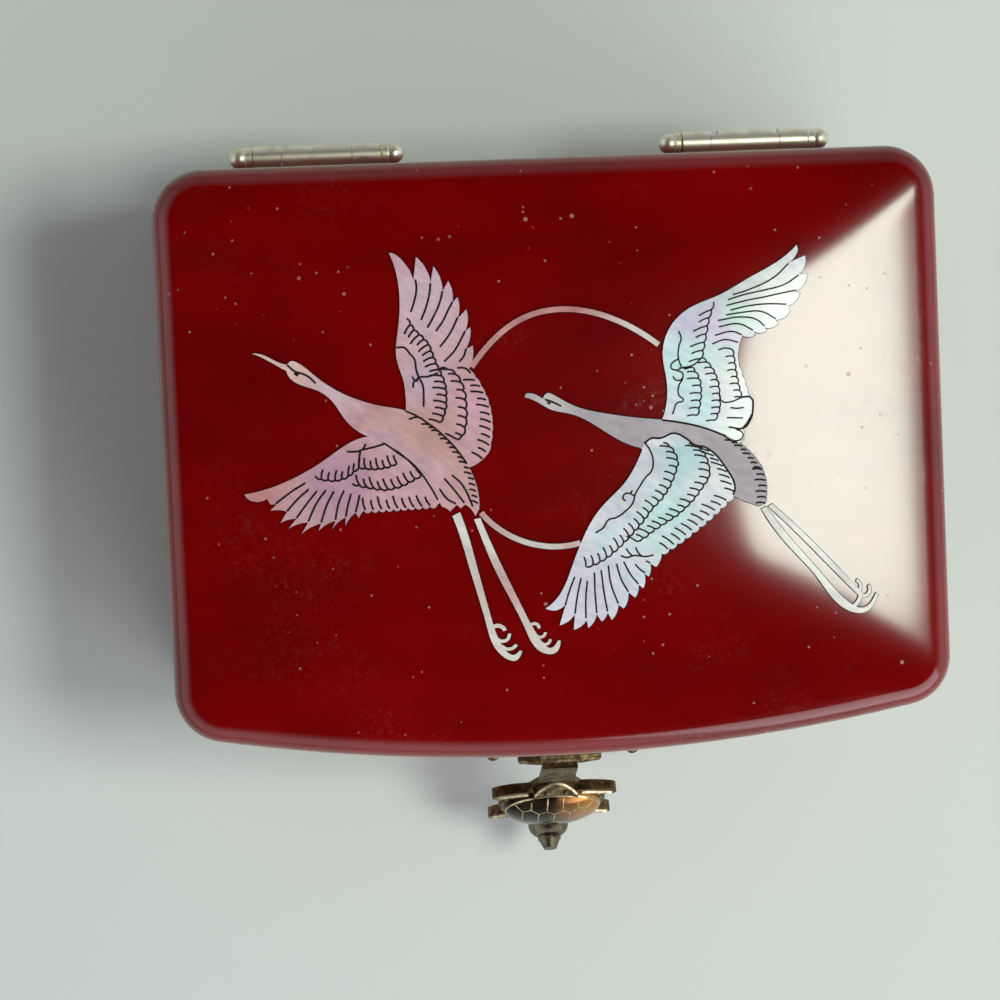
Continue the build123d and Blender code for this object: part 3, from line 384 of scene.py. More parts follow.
bpy.ops.mesh.bridge_edge_loops()
bpy.ops.object.mode_set(mode="OBJECT")
settle(case_shell, 50)
leaf_recess(case_shell, case_rim - pocket_depth, case_rim + rim_gap)
case_shell.data.materials.append(lacquer)
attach(case_shell, "case")
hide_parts("front_wall", "back_wall", "left_wall", "right_wall")


def dress(material, *names):
    """Gives CAD nodes one material."""
    for name in names:
        nodes[name].data.materials.clear()
        nodes[name].data.materials.append(material)


# Base board and felt: what the box stands on.
# A sanded plywood board closes the case from below, and a sheet of pressed wool felt is glued under it
# so that the box doesn't scratch a table. Dry wood with long pale figure; felt that takes all light.
plywood, tree, shader = new_material("birch_plywood_sanded")
place = add_node(tree, "ShaderNodeTexCoord").outputs["Object"]
stretch = add_node(tree, "ShaderNodeMapping", {"Vector": place, "Scale": (20.0, 400.0, 400.0)})
figure = add_node(tree, "ShaderNodeTexNoise", {"Vector": stretch.outputs[0], "Scale": 1.0, "Detail": 5.0})
tree.links.new(ramp(tree, figure.outputs["Fac"], (0.3, "#a9835a"), (0.7, "#c7a377")),
               shader.inputs["Base Color"])
shader.inputs["Roughness"].default_value = 0.65
dress(plywood, "base_board")

felt, tree, shader = new_material("wool_felt_pressed")
place = add_node(tree, "ShaderNodeTexCoord").outputs["Object"]
fibres = add_node(tree, "ShaderNodeTexNoise", {"Vector": place, "Scale": 1500.0, "Detail": 4.0})
tree.links.new(ramp(tree, fibres.outputs["Fac"], (0.3, "#141317"), (0.7, "#2c2a30")),
               shader.inputs["Base Color"])
shader.inputs["Roughness"].default_value = 0.95
shader.inputs["Sheen Weight"].default_value = 0.3
dress(felt, "base_felt")

# Velvet: floor pad, linings, dividers, ring rolls and the border round the mirror.
# Card or foam is covered in short-pile cotton velvet, folded round and glued behind, so every edge is
# soft. The cut pile is dark where it faces the eye and glows pink at a flat angle.
velvet, tree, shader = new_material("cotton_velvet_cut_pile")
place = add_node(tree, "ShaderNodeTexCoord").outputs["Object"]
brushed = add_node(tree, "ShaderNodeTexNoise", {"Vector": place, "Scale": 90.0, "Detail": 3.0,
                                                "Distortion": 0.6})
pile = add_node(tree, "ShaderNodeTexNoise", {"Vector": place, "Scale": 2600.0, "Detail": 2.0})
tree.links.new(ramp(tree, brushed.outputs["Fac"], (0.35, "#4a0615"), (0.65, "#5f0a1b")),
               shader.inputs["Base Color"])
bump = add_node(tree, "ShaderNodeBump", {"Height": pile.outputs["Fac"], "Strength": 0.5, "Distance": 0.0002})
tree.links.new(bump.outputs[0], shader.inputs["Normal"])
shader.inputs["Roughness"].default_value = 0.9
shader.inputs["Sheen Weight"].default_value = 0.8
shader.inputs["Sheen Roughness"].default_value = 0.35
shader.inputs["Sheen Tint"].default_value = linear("#c05068")


pile_dent, dent_spread = 0.04, 5.0


def velvet_over(node, body, grain):
    """Velvet drawn over one solid: its edges turn round, and the pile lies a little unevenly."""
    bpy.ops.object.select_all(action="DESELECT")
    soft = bpy.data.objects.new(node + "_velvet", nodes[node].data.copy())
    bpy.context.scene.collection.objects.link(soft)
    settle(soft)
    bpy.ops.mesh.separate(type="LOOSE")
    parts = list(bpy.context.selected_objects)
    for part in parts:
        apply_modifier(part, "REMESH", mode="VOXEL", voxel_size=grain * mm)
        apply_modifier(part, "SMOOTH", factor=0.5, iterations=6)
    for part in parts:
        part.select_set(True)
    bpy.context.view_layer.objects.active = parts[0]
    bpy.ops.object.join()
    soft = bpy.context.active_object
    soft.name = node + "_velvet"
    places = []
    for vertex in soft.data.vertices:
        dent = pile_dent + pile_dent * noise.noise(vertex.co / (dent_spread * mm))
        places.append(vertex.co - vertex.normal * dent * mm)
    for vertex, moved in zip(soft.data.vertices, places):
        vertex.co = moved
    settle(soft, 80)
    soft.data.materials.clear()
    soft.data.materials.append(velvet)
    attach(soft, body)
    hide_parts(node)


velvet_over("floor_pad", "case", 0.8)
for node in ("front_lining", "back_lining", "left_lining", "right_lining", "long_divider", "left_divider",
             "right_divider"):
    velvet_over(node, "case", 0.55)
velvet_over("ring_rolls", "case", 0.65)
velvet_over("lid_lining", "lid", 0.7)

# Mirror: silvered glass on a card, held by the velvet border of the lid.
# Float glass is silvered on its back and glued down. It shows the room sharply through a faint film of
# smears, and its card shows plain plies at the edge.
silvered, tree, shader = new_material("silvered_float_glass")
shader.inputs["Base Color"].default_value = linear("#e4e8e8")
shader.inputs["Metallic"].default_value = 1.0
place = add_node(tree, "ShaderNodeTexCoord").outputs["Object"]
smear = add_node(tree, "ShaderNodeTexNoise", {"Vector": place, "Scale": 60.0, "Detail": 3.0})
film = add_node(tree, "ShaderNodeMapRange", {0: smear.outputs["Fac"], 1: 0.4, 2: 0.8, 3: 0.01, 4: 0.05})
tree.links.new(film.outputs[0], shader.inputs["Roughness"])
dress(silvered, "mirror")
dress(plywood, "mirror_backing")

# Hinges: two barrel hinges with ball ends, let into the rims at the back.
# Brass leaves, knuckles and turned pins are plated with nickel and held by small screws. Handling has
# dulled the plating unevenly, so its shine comes and goes along the barrel.
nickel, tree, shader = new_material("nickel_plated_brass_worn")
place = add_node(tree, "ShaderNodeTexCoord").outputs["Object"]
wear = add_node(tree, "ShaderNodeTexNoise", {"Vector": place, "Scale": 350.0, "Detail": 4.0})
tree.links.new(ramp(tree, wear.outputs["Fac"], (0.3, "#ddd3bb"), (0.6, "#f3ecdb")),
               shader.inputs["Base Color"])
shader.inputs["Metallic"].default_value = 1.0
dull = add_node(tree, "ShaderNodeMapRange", {0: wear.outputs["Fac"], 1: 0.3, 2: 0.7, 3: 0.46, 4: 0.34})
tree.links.new(dull.outputs[0], shader.inputs["Roughness"])
for side in ("left", "right"):
    dress(nickel, f"{side}_hinge_case_leaf", f"{side}_hinge_lid_leaf", f"{side}_hinge_pin")
dress(nickel, "hinge_case_screws", "hinge_lid_screws")

# Latch: cast brass plates, nails, catch stud and the turtle hasp on its pin.
# The castings are toned with a dark patina that stays in their pores, the knob is turned and waxed, and
# the shell is polished black, with an orange reflection painted on its right.
brass, tree, shader = new_material("antique_brass_toned")
place = add_node(tree, "ShaderNodeTexCoord").outputs["Object"]
patina = add_node(tree, "ShaderNodeTexNoise", {"Vector": place, "Scale": 700.0, "Detail": 5.0,
                                               "Roughness": 0.7})
tree.links.new(ramp(tree, patina.outputs["Fac"], (0.35, "#3c3020"), (0.5, "#5f4e35"), (0.68, "#94805c")),
               shader.inputs["Base Color"])
grit = add_node(tree, "ShaderNodeBump", {"Height": patina.outputs["Fac"], "Strength": 0.35,
                                         "Distance": 0.0002})
tree.links.new(grit.outputs[0], shader.inputs["Normal"])
shader.inputs["Metallic"].default_value = 1.0
shader.inputs["Roughness"].default_value = 0.38
dress(brass, "latch_case_plate", "latch_case_nails", "catch_stud", "latch_lid_plate", "latch_lid_nails",
      "hasp_pin", "turtle_casting")
dark_brass, tree, shader = new_material("dark_brass_turned_and_waxed")
place = add_node(tree, "ShaderNodeTexCoord").outputs["Object"]
bloom = add_node(tree, "ShaderNodeTexNoise", {"Vector": place, "Scale": 260.0, "Detail": 3.0})
tree.links.new(ramp(tree, bloom.outputs["Fac"], (0.35, "#4a4236"), (0.65, "#7d7360")),
               shader.inputs["Base Color"])
shader.inputs["Metallic"].default_value = 1.0
shader.inputs["Roughness"].default_value = 0.36
dress(dark_brass, "pull_knob")
polished, tree, shader = new_material("black_patina_polished_with_painted_reflection")
place = add_node(tree, "ShaderNodeTexCoord").outputs["Object"]
bloom = add_node(tree, "ShaderNodeTexNoise", {"Vector": place, "Scale": 180.0, "Detail": 2.0})
black = ramp(tree, bloom.outputs["Fac"], (0.35, "#1a120b"), (0.65, "#33251a"))
# An orange reflection is painted on the right of the black shell: full at this spot, it fades within its
# reach.
reflection_spot, reflection_reach = (8.0, -74.0, 29.5), 9.5
painted_reflection = nearness(tree, place, reflection_spot, reflection_reach, bloom.outputs["Fac"])
shell_colour_with_reflection = add_node(tree, "ShaderNodeMix", {0: painted_reflection, 6: black, 7: linear("#c98a4c")}, data_type="RGBA")
tree.links.new(shell_colour_with_reflection.outputs[2], shader.inputs["Base Color"])
shader.inputs["Metallic"].default_value = 1.0
shader.inputs["Roughness"].default_value = 0.16
dress(polished, "turtle_shell")


# Inlay: two cranes and a moon of mother-of-pearl.
# Real shell is sawn thin, let in almost flush and rubbed down with the lacquer, so it follows the
# crown; each bird is laid from shells of its own colour.
def nacre(name, gloss, scale, stops, *patches_and_highlights):
    """Mother-of-pearl: drifting bands of colour, patches of colour at their places, some of them painted
    highlight, and faint growth lines.
    """
    material, tree, shader = new_material(name)
    place = add_node(tree, "ShaderNodeTexCoord").outputs["Object"]
    turned = add_node(tree, "ShaderNodeMapping", {"Vector": place, "Rotation": (0.0, 0.0, 0.5)})
    drift = add_node(tree, "ShaderNodeTexNoise", {"Vector": turned.outputs[0], "Scale": scale, "Detail": 2.0,
                                                  "Distortion": 0.8})
    colour = ramp(tree, drift.outputs["Fac"], *stops)
    for x, y, reach, code in patches_and_highlights:
        near = nearness(tree, place, (x, y, crown_level - 1), reach, drift.outputs["Fac"])
        colour = add_node(tree, "ShaderNodeMix", {0: near, 6: colour, 7: linear(code)},
                          data_type="RGBA").outputs[2]
    flat = add_node(tree, "ShaderNodeMapping", {"Vector": turned.outputs[0], "Scale": (350.0, 900.0, 900.0)})
    lines = add_node(tree, "ShaderNodeTexNoise", {"Vector": flat.outputs[0], "Scale": 1.0, "Detail": 3.0})
    shade = ramp(tree, lines.outputs["Fac"], (0.3, "#dedede"), (0.7, "#ffffff"))
    mixed = add_node(tree, "ShaderNodeMix", {0: 0.7, 6: colour, 7: shade}, data_type="RGBA",
                     blend_type="MULTIPLY")
    tree.links.new(mixed.outputs[2], shader.inputs["Base Color"])
    shader.inputs["Roughness"].default_value = 0.36
    shader.inputs["Specular IOR Level"].default_value = 0.2 + 0.5 * gloss
    shader.inputs["Coat Weight"].default_value = gloss
    shader.inputs["Coat Roughness"].default_value = 0.12
    return material


pink_pearl = nacre(
    "pink_shell_rubbed_flush", 0.25, 70.0,
    ((0.32, "#cb979b"), (0.46, "#d4a2a6"), (0.58, "#dcadb0"), (0.7, "#cda4b4")),
    (-25, 31, 15, "#ddbaca"), (-26, 16, 7, "#d0aec0"), (-17, 10, 7, "#dca8b8"), (-43, -3, 12, "#c697ae"),
    (-58, -4, 9, "#d28785"), (-31, -5, 8, "#daa8b4"), (-53, 20, 9, "#ecc6be"), (-43, 14, 6, "#deb9c4"),
    (-26, 6, 8, "#cf9d9a"), (-18, -5, 8, "#d2a3a4"))
# The three near-white patches at (43, 30), (33, 13) and (33, 4) on the raised wing are painted highlight,
# where the window's reflection falls; the other patches are the shell's own colours.
blue_pearl = nacre(
    "green_abalone_rubbed_flush", 0.35, 80.0,
    ((0.34, "#cdd1da"), (0.44, "#dcdbe3"), (0.52, "#e4deea"), (0.6, "#d4e3e7"), (0.7, "#e6e1ee")),
    (25, -1.5, 7, "#acd4d8"), (18, -12, 8, "#c4e6e5"), (5, -25, 10, "#dad3e2"), (11, -8, 7, "#d0d2dc"),
    (29, -5, 7, "#dfe0e4"), (24, 17, 9, "#cdeeef"), (27, 9, 7, "#c6e4ea"), (25, 25, 5, "#cfc3de"),
    (31, 24, 5, "#dccbe6"), (34.5, 26, 4, "#cdeedd"), (43, 30, 9, "#f0f1ec"), (33, 13, 7, "#eeeeea"),
    (33, 4, 7, "#f1f1ee"))
grey_pearl = nacre("grey_shell_rubbed_flush", 0.0, 40.0,
                   ((0.35, "#a79ca2"), (0.5, "#afa4aa"), (0.65, "#b8adb4")),
                   (-2, 11, 6, "#cdc2c4"))
silver_pearl = nacre("white_shell_rubbed_flush", 0.1, 80.0,
                     ((0.35, "#d2cac4"), (0.5, "#dfd8d1"), (0.65, "#ebe5df")),
                     (-10, -24, 12, "#cfaaaa"), (-4, -32, 9, "#dccfc8"))
rose_pearl = nacre("rose_shell_rubbed_flush", 0.1, 80.0,
                   ((0.35, "#bd7f7d"), (0.5, "#c88a88"), (0.65, "#d49894")),
                   (16, 24, 11, "#dfcfcd"), (-6, -15, 14, "#d8ccc8"))
dress(pink_pearl, "left_crane_body", "left_crane_raised_wing", "left_crane_lowered_wing")
dress(blue_pearl, "right_crane_raised_wing", "right_crane_lowered_wing")
dress(grey_pearl, "right_crane_body")
dress(silver_pearl, "left_crane_legs", "right_crane_legs")
dress(rose_pearl, "moon_ring")

# Feather lines: cut into the shell with a graver and filled with dark lacquer.
# Quills run in from the notches of a wing, and small feathers end in scallops with a barb at each
# joint. The points are millimetres from the middle of the box, drawn after the photograph.
ink, tree, shader = new_material("dark_lacquer_in_graver_lines")
place = add_node(tree, "ShaderNodeTexCoord").outputs["Object"]
uneven = add_node(tree, "ShaderNodeTexNoise", {"Vector": place, "Scale": 500.0, "Detail": 2.0})
tree.links.new(ramp(tree, uneven.outputs["Fac"], (0.3, "#12070a"), (0.7, "#26141a")),
               shader.inputs["Base Color"])
shader.inputs["Roughness"].default_value = 0.6
shader.inputs["Specular IOR Level"].default_value = 0.15


def point_along(points, share):
    """Place and heading at a share of the length of a chain of points."""
    steps = [math.dist(p, q) for p, q in zip(points, points[1:])]
    left = share * sum(steps)
    for p, q, step in zip(points, points[1:], steps):
        if left <= step or q == points[-1]:
            t = min(left / step, 1.0)
            reached = (p[0] + (q[0] - p[0]) * t, p[1] + (q[1] - p[1]) * t)
            return reached, ((q[0] - p[0]) / step, (q[1] - p[1]) / step)
        left -= step


def feather_row(count, barb, first, last, *points):
    """Scallops along a chain of points, each joint with a barb; first and last are the barbs' headings."""
    strokes = []
    for n in range(count + 1):
        here, heading = point_along(points, n / count)
        turn = math.radians(first + (last - first) * n / count)
        way = (math.cos(turn), math.sin(turn))
        if 0 < n:
            reach = barb * (0.85 + 0.15 * math.sin(2.7 * n))
            bend = (here[0] + way[0] * reach * 0.5 - heading[0] * 0.12,
                    here[1] + way[1] * reach * 0.5 - heading[1] * 0.12)
            strokes.append([here, bend, (here[0] + way[0] * reach, here[1] + way[1] * reach)])
        if n < count:
            there, _ = point_along(points, (n + 1) / count)
            between, heading = point_along(points, (n + 0.5) / count)
            side = -1 if heading[0] * way[1] - heading[1] * way[0] > 0 else 1
            out = 0.16 * math.dist(here, there)
            crest = (between[0] - heading[1] * side * out, between[1] + heading[0] * side * out)
            strokes.append([here, crest, there])
    return strokes


def barbs(count, barb, first, last, *points):
    """Only the barbs of a row, where the edge of the shell itself is scalloped."""
    return feather_row(count, barb, first, last, *points)[1::2]


inlay_face = 0.39


def on_crown(x, y, z):
    """Place on the face of the shell inlay, where a line's height is pressed to a quarter."""
    return x, y, crown_z(x, y) + inlay_face + 0.25 * z


def engrave(name, half_width_of_line, *strokes, face=on_crown, body="lid", filling=ink, slot="red_lacquer"):
    """Lays thin lines on a face: each stroke is a smooth chain of points in millimetres."""
    bpy.ops.object.select_all(action="DESELECT")
    data = bpy.data.curves.new(name, "CURVE")
    data.dimensions = "3D"
    data.bevel_depth = half_width_of_line * mm
    data.bevel_resolution = 0
    data.resolution_u = 5
    data.use_fill_caps = True
    for stroke in strokes:
        spline = data.splines.new("BEZIER")
        spline.bezier_points.add(len(stroke) - 1)
        for knot, (x, y) in zip(spline.bezier_points, stroke):
            knot.co = (x * mm, y * mm, 0.0)
            knot.handle_left_type = knot.handle_right_type = "AUTO"
    lines = bpy.data.objects.new(name, data)
    bpy.context.scene.collection.objects.link(lines)
    select_only(lines)
    bpy.ops.object.convert(target="MESH")
    lines = bpy.context.active_object
    for vertex in lines.data.vertices:
        vertex.co = Vector(face(*(vertex.co / mm))) * mm
    settle(lines, 60)
    lines.data.materials.clear()
    lines.data.materials.append(filling)
    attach(lines, body)


# The dark edge round each piece of shell is partly its lacquer joint and partly painted shade from the raised
# shell.
glue_and_shade_width, glue_and_shade_drop = 0.17, 0.26


def glue_and_shade_edge(node):
    """Dark lacquer that shows as a thin edge round one piece of shell, partly the lacquer joint and partly
    painted shade.
    """
    bpy.ops.object.select_all(action="DESELECT")
    rim = bpy.data.objects.new(node + "_edge", nodes[node].data.copy())
    bpy.context.scene.collection.objects.link(rim)
    rim.matrix_world = nodes[node].matrix_world
    settle(rim, 60)
    apply_modifier(rim, "DISPLACE", strength=glue_and_shade_width * mm, mid_level=0.0)
    for vertex in rim.data.vertices:
        vertex.co.z -= glue_and_shade_drop * mm
    rim.data.materials.clear()
    rim.data.materials.append(ink)
    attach(rim, "lid")


for node in ("left_crane_body", "left_crane_raised_wing", "left_crane_lowered_wing", "left_crane_legs",
             "right_crane_body", "right_crane_raised_wing", "right_crane_lowered_wing", "right_crane_legs",
             "moon_ring"):
    glue_and_shade_edge(node)

engrave(
    "left_raised_wing_lines", 0.19,
    [(-26.7, 35.2), (-26.6, 33.5), (-27.2, 30.9), (-27.9, 29.1)],
    [(-23.9, 34.4), (-24.2, 32.4), (-25.0, 29.8), (-26.0, 27.5)],
    [(-21.7, 32.8), (-22.4, 30.5), (-23.5, 28.3), (-24.9, 26.0)],
    [(-19.9, 30.7), (-20.9, 29.0), (-22.0, 27.0), (-23.3, 25.3)],
    [(-19.1, 27.7), (-20.1, 25.7), (-21.3, 23.9), (-22.7, 22.3)],
    [(-17.8, 25.1), (-18.9, 23.1), (-20.1, 21.3), (-22.0, 19.5)],
    [(-17.8, 21.7), (-18.3, 20.3), (-19.2, 19.3)],
    *feather_row(9, 2.4, 242, 190, (-28.7, 27.9), (-27.6, 25.8), (-26.2, 24.4), (-24.9, 22.9), (-24.1, 20.4),
                 (-23.2, 18.0)),
    *feather_row(8, 2.5, 178, 160, (-23.2, 18.0), (-22.5, 16.4), (-22.0, 14.4), (-22.1, 11.2), (-22.6, 9.4),
                 (-23.3, 8.0)),
    *feather_row(10, 1.9, 182, 150, (-23.1, 18.1), (-21.6, 18.1), (-20.1, 17.2), (-19.0, 15.3), (-18.4, 12.7),
                 (-18.4, 8.7), (-18.8, 6.4), (-19.5, 4.9), (-20.8, 5.0)),
    *barbs(12, 2.5, 180, 146, (-17.2, 16.9), (-15.2, 14.2), (-14.0, 10.8), (-13.7, 7.4), (-14.2, 3.3),
           (-15.6, 0.8)),
    [(-19.6, 18.2), (-18.0, 18.0), (-17.1, 17.1)],
    [(-30.9, 22.5), (-29.4, 22.4), (-28.5, 21.3), (-27.6, 20.1), (-27.4, 18.3), (-27.0, 16.8)],
    [(-28.2, 16.9), (-27.7, 16.2), (-26.9, 16.7), (-25.1, 16.8), (-23.3, 17.4)],
    [(-27.1, 16.1), (-27.9, 15.9), (-28.1, 14.8)],
    [(-26.9, 16.5), (-26.3, 15.3), (-26.2, 13.1), (-26.3, 11.1)],
)
engrave(
    "left_lowered_wing_lines", 0.19,
    [(-49.2, -2.3), (-52.0, -3.9), (-55.0, -6.0)],
    [(-48.6, -3.5), (-50.9, -5.4), (-52.9, -7.5)],
    [(-47.1, -3.9), (-49.0, -6.1), (-51.2, -8.9)],
    [(-45.4, -3.8), (-47.2, -6.1), (-49.0, -9.6)],
    [(-43.9, -4.1), (-45.3, -6.5), (-46.6, -9.9)],
    [(-42.0, -4.0), (-43.1, -6.3), (-43.9, -9.5)],
    [(-40.7, -4.7), (-41.4, -6.9), (-41.9, -9.0)],
    [(-39.1, -5.0), (-39.5, -6.5), (-40.0, -8.2)],
    *barbs(9, 2.6, 98, 118, (-39.7, -7.9), (-37.0, -7.9), (-34.3, -7.9), (-29.0, -7.8), (-25.9, -7.6)),
    *feather_row(7, 2.0, 78, 82, (-47.3, -1.1), (-46.3, -1.7), (-43.5, -2.1), (-41.3, -1.5), (-39.9, -0.4),
                 (-39.0, 0.2)),
    *feather_row(6, 2.1, 90, 112, (-39.0, 0.2), (-37.6, 0.0), (-35.7, -0.2), (-33.5, 0.1), (-31.8, 0.7)),
    *feather_row(10, 2.3, 104, 122, (-40.4, -2.8), (-38.3, -3.4), (-36.1, -3.9), (-33.9, -4.2), (-31.3, -3.7),
                 (-29.4, -2.8), (-27.3, -1.8)),
    [(-41.1, 3.3), (-39.8, 3.2), (-38.3, 3.5), (-37.5, 4.6)],
    [(-38.3, 3.5), (-36.1, 3.9), (-33.8, 4.5)],
    [(-38.6, 3.3), (-38.9, 1.7), (-39.0, 0.2)],
)
engrave(
    "left_body_lines", 0.19,
    [(-51.6, 20.1), (-50.2, 18.8), (-49.0, 18.4), (-47.7, 17.7), (-46.4, 16.4)],
    [(-50.3, 18.6), (-49.9, 18.1), (-49.5, 18.5)],
    [(-50.2, 18.4), (-49.9, 18.3), (-49.6, 18.4)],
    [(-29.2, 8.9), (-27.4, 9.2), (-26.4, 8.6)],
    *barbs(17, 1.5, 176, 158, (-26.4, 8.4), (-23.4, 6.3), (-20.8, 3.4), (-18.6, 0.0), (-17.3, -3.3),
           (-16.8, -7.6)),
    [(-21.5, -2.0), (-19.6, -4.0), (-17.8, -8.2)],
    [(-24.0, -4.5), (-22.5, -6.6), (-21.0, -7.5)],
    [(-23.0, -2.6), (-21.4, -4.6), (-19.4, -7.4)],
)

root_sink = 0.11


def under_lines(x, y, z):
    """Place just under the face of the shell inlay, for a flat strip of shell."""
    return x, y, crown_z(x, y) + inlay_face - root_sink + 0.2 * z


engrave("left_wing_root", 0.5, [(-34.0, 4.4), (-31.8, 2.4), (-29.2, -0.4), (-27.2, -2.6)], face=under_lines,
        filling=pink_pearl, slot="pink_pearl")

engrave(
    "left_glue_lines", 0.18,
    [(-34.0, 4.55), (-31.5, 2.6), (-28.8, 0.4), (-25.6, -4.2), (-24.4, -6.6)],
    [(-29.8, 10.5), (-27.8, 9.5), (-25.9, 8.2), (-23.4, 6.1), (-21.3, 3.9), (-19.8, 1.9), (-18.6, 0.0)],
)
engrave(
    "right_lowered_wing_lines", 0.16,
    [(15.6, 2.4), (16.5, 0.9), (17.0, -1.0), (16.6, -3.0), (15.4, -4.2), (14.4, -5.6), (13.3, -7.3),
     (12.8, -8.9), (11.2, -10.5), (9.4, -11.6), (8.0, -11.9), (6.9, -13.4), (5.4, -14.3)],
    [(12.8, -6.5), (12.5, -7.1), (13.3, -7.6)],
    [(12.5, -7.1), (11.4, -7.1), (10.9, -7.9), (11.4, -8.5)],
    *feather_row(22, 2.1, 176, 98, (19.1, 2.3), (20.5, 1.3), (21.4, -0.3), (21.7, -1.7), (21.0, -3.8),
                 (20.0, -5.9), (18.6, -8.0), (16.4, -10.1), (14.5, -12.5), (12.4, -14.7), (9.8, -17.2),
                 (7.5, -19.0), (5.2, -20.2), (3.3, -20.7)),
    *feather_row(19, 2.2, 172, 150, (24.0, 1.9), (25.6, 1.1), (27.0, -0.3), (27.5, -1.9), (27.8, -3.5),
                 (27.5, -4.9), (26.5, -6.2), (24.7, -8.5), (22.8, -10.3), (21.0, -11.7), (19.1, -12.8),
                 (17.5, -13.7), (15.9, -14.7), (14.9, -15.5), (13.2, -16.3)),
    *barbs(9, 2.6, 160, 160, (25.6, 1.6), (28.0, 0.2), (30.2, -2.2), (31.6, -4.4), (32.4, -7.6)),
    *barbs(11, 2.9, 158, 140, (32.1, -8.4), (29.5, -10.4), (26.3, -12.9), (22.6, -15.7), (19.2, -18.1)),
    [(16.4, -19.1), (14.9, -19.3), (12.6, -19.0), (11.2, -19.3), (10.1, -18.9)],
    [(12.3, -19.0), (11.6, -18.3), (11.2, -17.6)],
    [(14.1, -19.2), (13.4, -18.4), (13.0, -17.4)],
    [(1.1, -22.5), (-0.1, -25.4), (-0.9, -27.9)],
    [(2.3, -22.8), (1.5, -26.1), (0.9, -29.6)],
    [(3.5, -23.4), (3.1, -26.6), (3.0, -30.6)],
    [(4.9, -21.9), (4.9, -25.6), (5.1, -29.7)],
    [(6.2, -21.5), (6.6, -25.6), (7.2, -29.5)],
    [(7.6, -20.7), (8.0, -24.2), (9.3, -28.1)],
    [(9.2, -20.4), (10.0, -23.4), (11.3, -25.9)],
    [(10.6, -20.1), (11.9, -22.7), (13.3, -24.5)],
    [(12.8, -20.7), (13.8, -21.8), (14.6, -22.4)],
    [(14.9, -20.1), (15.7, -20.6)],
)
engrave(
    "right_body_lines", 0.18,
    [(-3.2, 11.5), (-1.9, 11.0), (-0.2, 10.1)],
    [(-2.8, 11.0), (-2.5, 10.7), (-2.2, 10.9)],
    *barbs(8, 1.6, 176, 172, (31.5, 2.6), (34.0, 1.4), (36.2, -0.9), (37.9, -3.4)),
    *barbs(7, 2.2, 174, 176, (37.8, -2.7), (38.7, -5.2), (38.9, -7.6), (38.5, -10.2)),
)
engrave(
    "right_glue_lines", 0.19,
    [(15.4, 2.3), (16.8, 3.2), (18.65, 3.2), (21.2, 4.0), (23.8, 2.7), (25.0, 1.65), (27.5, 0.9),
     (31.2, -3.3), (32.7, -6.9), (32.3, -8.3)],
    [(19.1, 6.6), (22.5, 6.0), (27.0, 4.8), (31.3, 3.0)],
    [(34.6, 10.3), (36.5, 10.1), (36.8, 8.2), (36.1, 5.7), (34.8, 4.4), (31.9, 4.7)],
)
engrave(
    "right_raised_wing_lines", 0.145,
    [(33.8, 29.9), (37.1, 30.8), (42.1, 33.0), (45.0, 35.5)],
    [(32.8, 29.0), (36.3, 29.9), (40.2, 30.6), (44.0, 31.5), (46.9, 33.2)],
    [(32.5, 27.9), (36.3, 28.7), (40.2, 29.3), (43.6, 29.9), (46.2, 30.3)],
    [(33.2, 27.0), (36.3, 27.6), (40.2, 27.9), (44.2, 27.7)],
    [(32.3, 26.1), (35.9, 26.5), (39.2, 26.5), (42.0, 25.0)],
    [(30.7, 25.1), (35.2, 25.6), (38.2, 25.0), (39.7, 23.7)],
    [(30.8, 23.9), (34.8, 24.3), (37.4, 23.0)],
    [(30.0, 22.3), (33.4, 22.9), (35.2, 22.2)],
    [(29.4, 20.7), (31.9, 21.4), (34.4, 20.8)],
    [(30.5, 19.5), (31.9, 19.8), (33.2, 19.5)],
    *feather_row(7, 2.9, 205, 192, (30.0, 28.7), (29.6, 27.5), (28.8, 25.4), (28.2, 22.8), (27.8, 21.0),
                 (27.4, 19.3), (27.1, 18.0)),
    [(27.2, 18.1), (25.5, 16.8), (23.4, 16.4)],
    [(23.0, 23.4), (23.4, 22.0), (22.9, 20.5), (22.7, 18.2), (23.2, 16.6)],
    [(22.7, 18.1), (21.5, 17.4), (21.2, 16.5), (22.3, 16.0), (23.2, 16.4)],
    [(22.3, 15.9), (23.4, 15.3), (23.1, 14.2), (21.9, 14.2), (21.5, 14.9)],
    [(23.4, 14.3), (22.5, 12.8), (22.5, 11.2), (23.3, 10.2), (22.0, 9.7), (21.5, 8.6), (21.1, 7.6)],
    *feather_row(8, 2.2, 180, 180, (23.4, 16.4), (25.2, 16.4), (26.1, 15.1), (26.7, 13.3), (26.7, 11.2),
                 (26.3, 8.9), (25.9, 7.2)),
    *feather_row(10, 1.8, 184, 182, (27.2, 18.2), (28.4, 17.0), (29.4, 15.5), (30.1, 13.5), (30.3, 11.2),
                 (30.3, 8.5), (29.3, 6.1)),
    [(30.3, 11.0), (30.8, 9.7), (32.5, 9.5), (34.5, 10.2)],
    *feather_row(7, 1.6, 184, 178, (33.2, 19.5), (33.5, 17.0), (33.7, 15.0), (34.1, 12.6), (34.6, 10.3)),
    [(32.4, 8.4), (33.6, 8.2), (35.0, 8.3)],
    [(31.6, 6.5), (33.2, 6.4), (34.8, 6.3)],
    [(31.0, 3.0), (32.6, 2.1), (34.4, 2.4), (34.6, 3.4), (33.4, 4.2)],
)
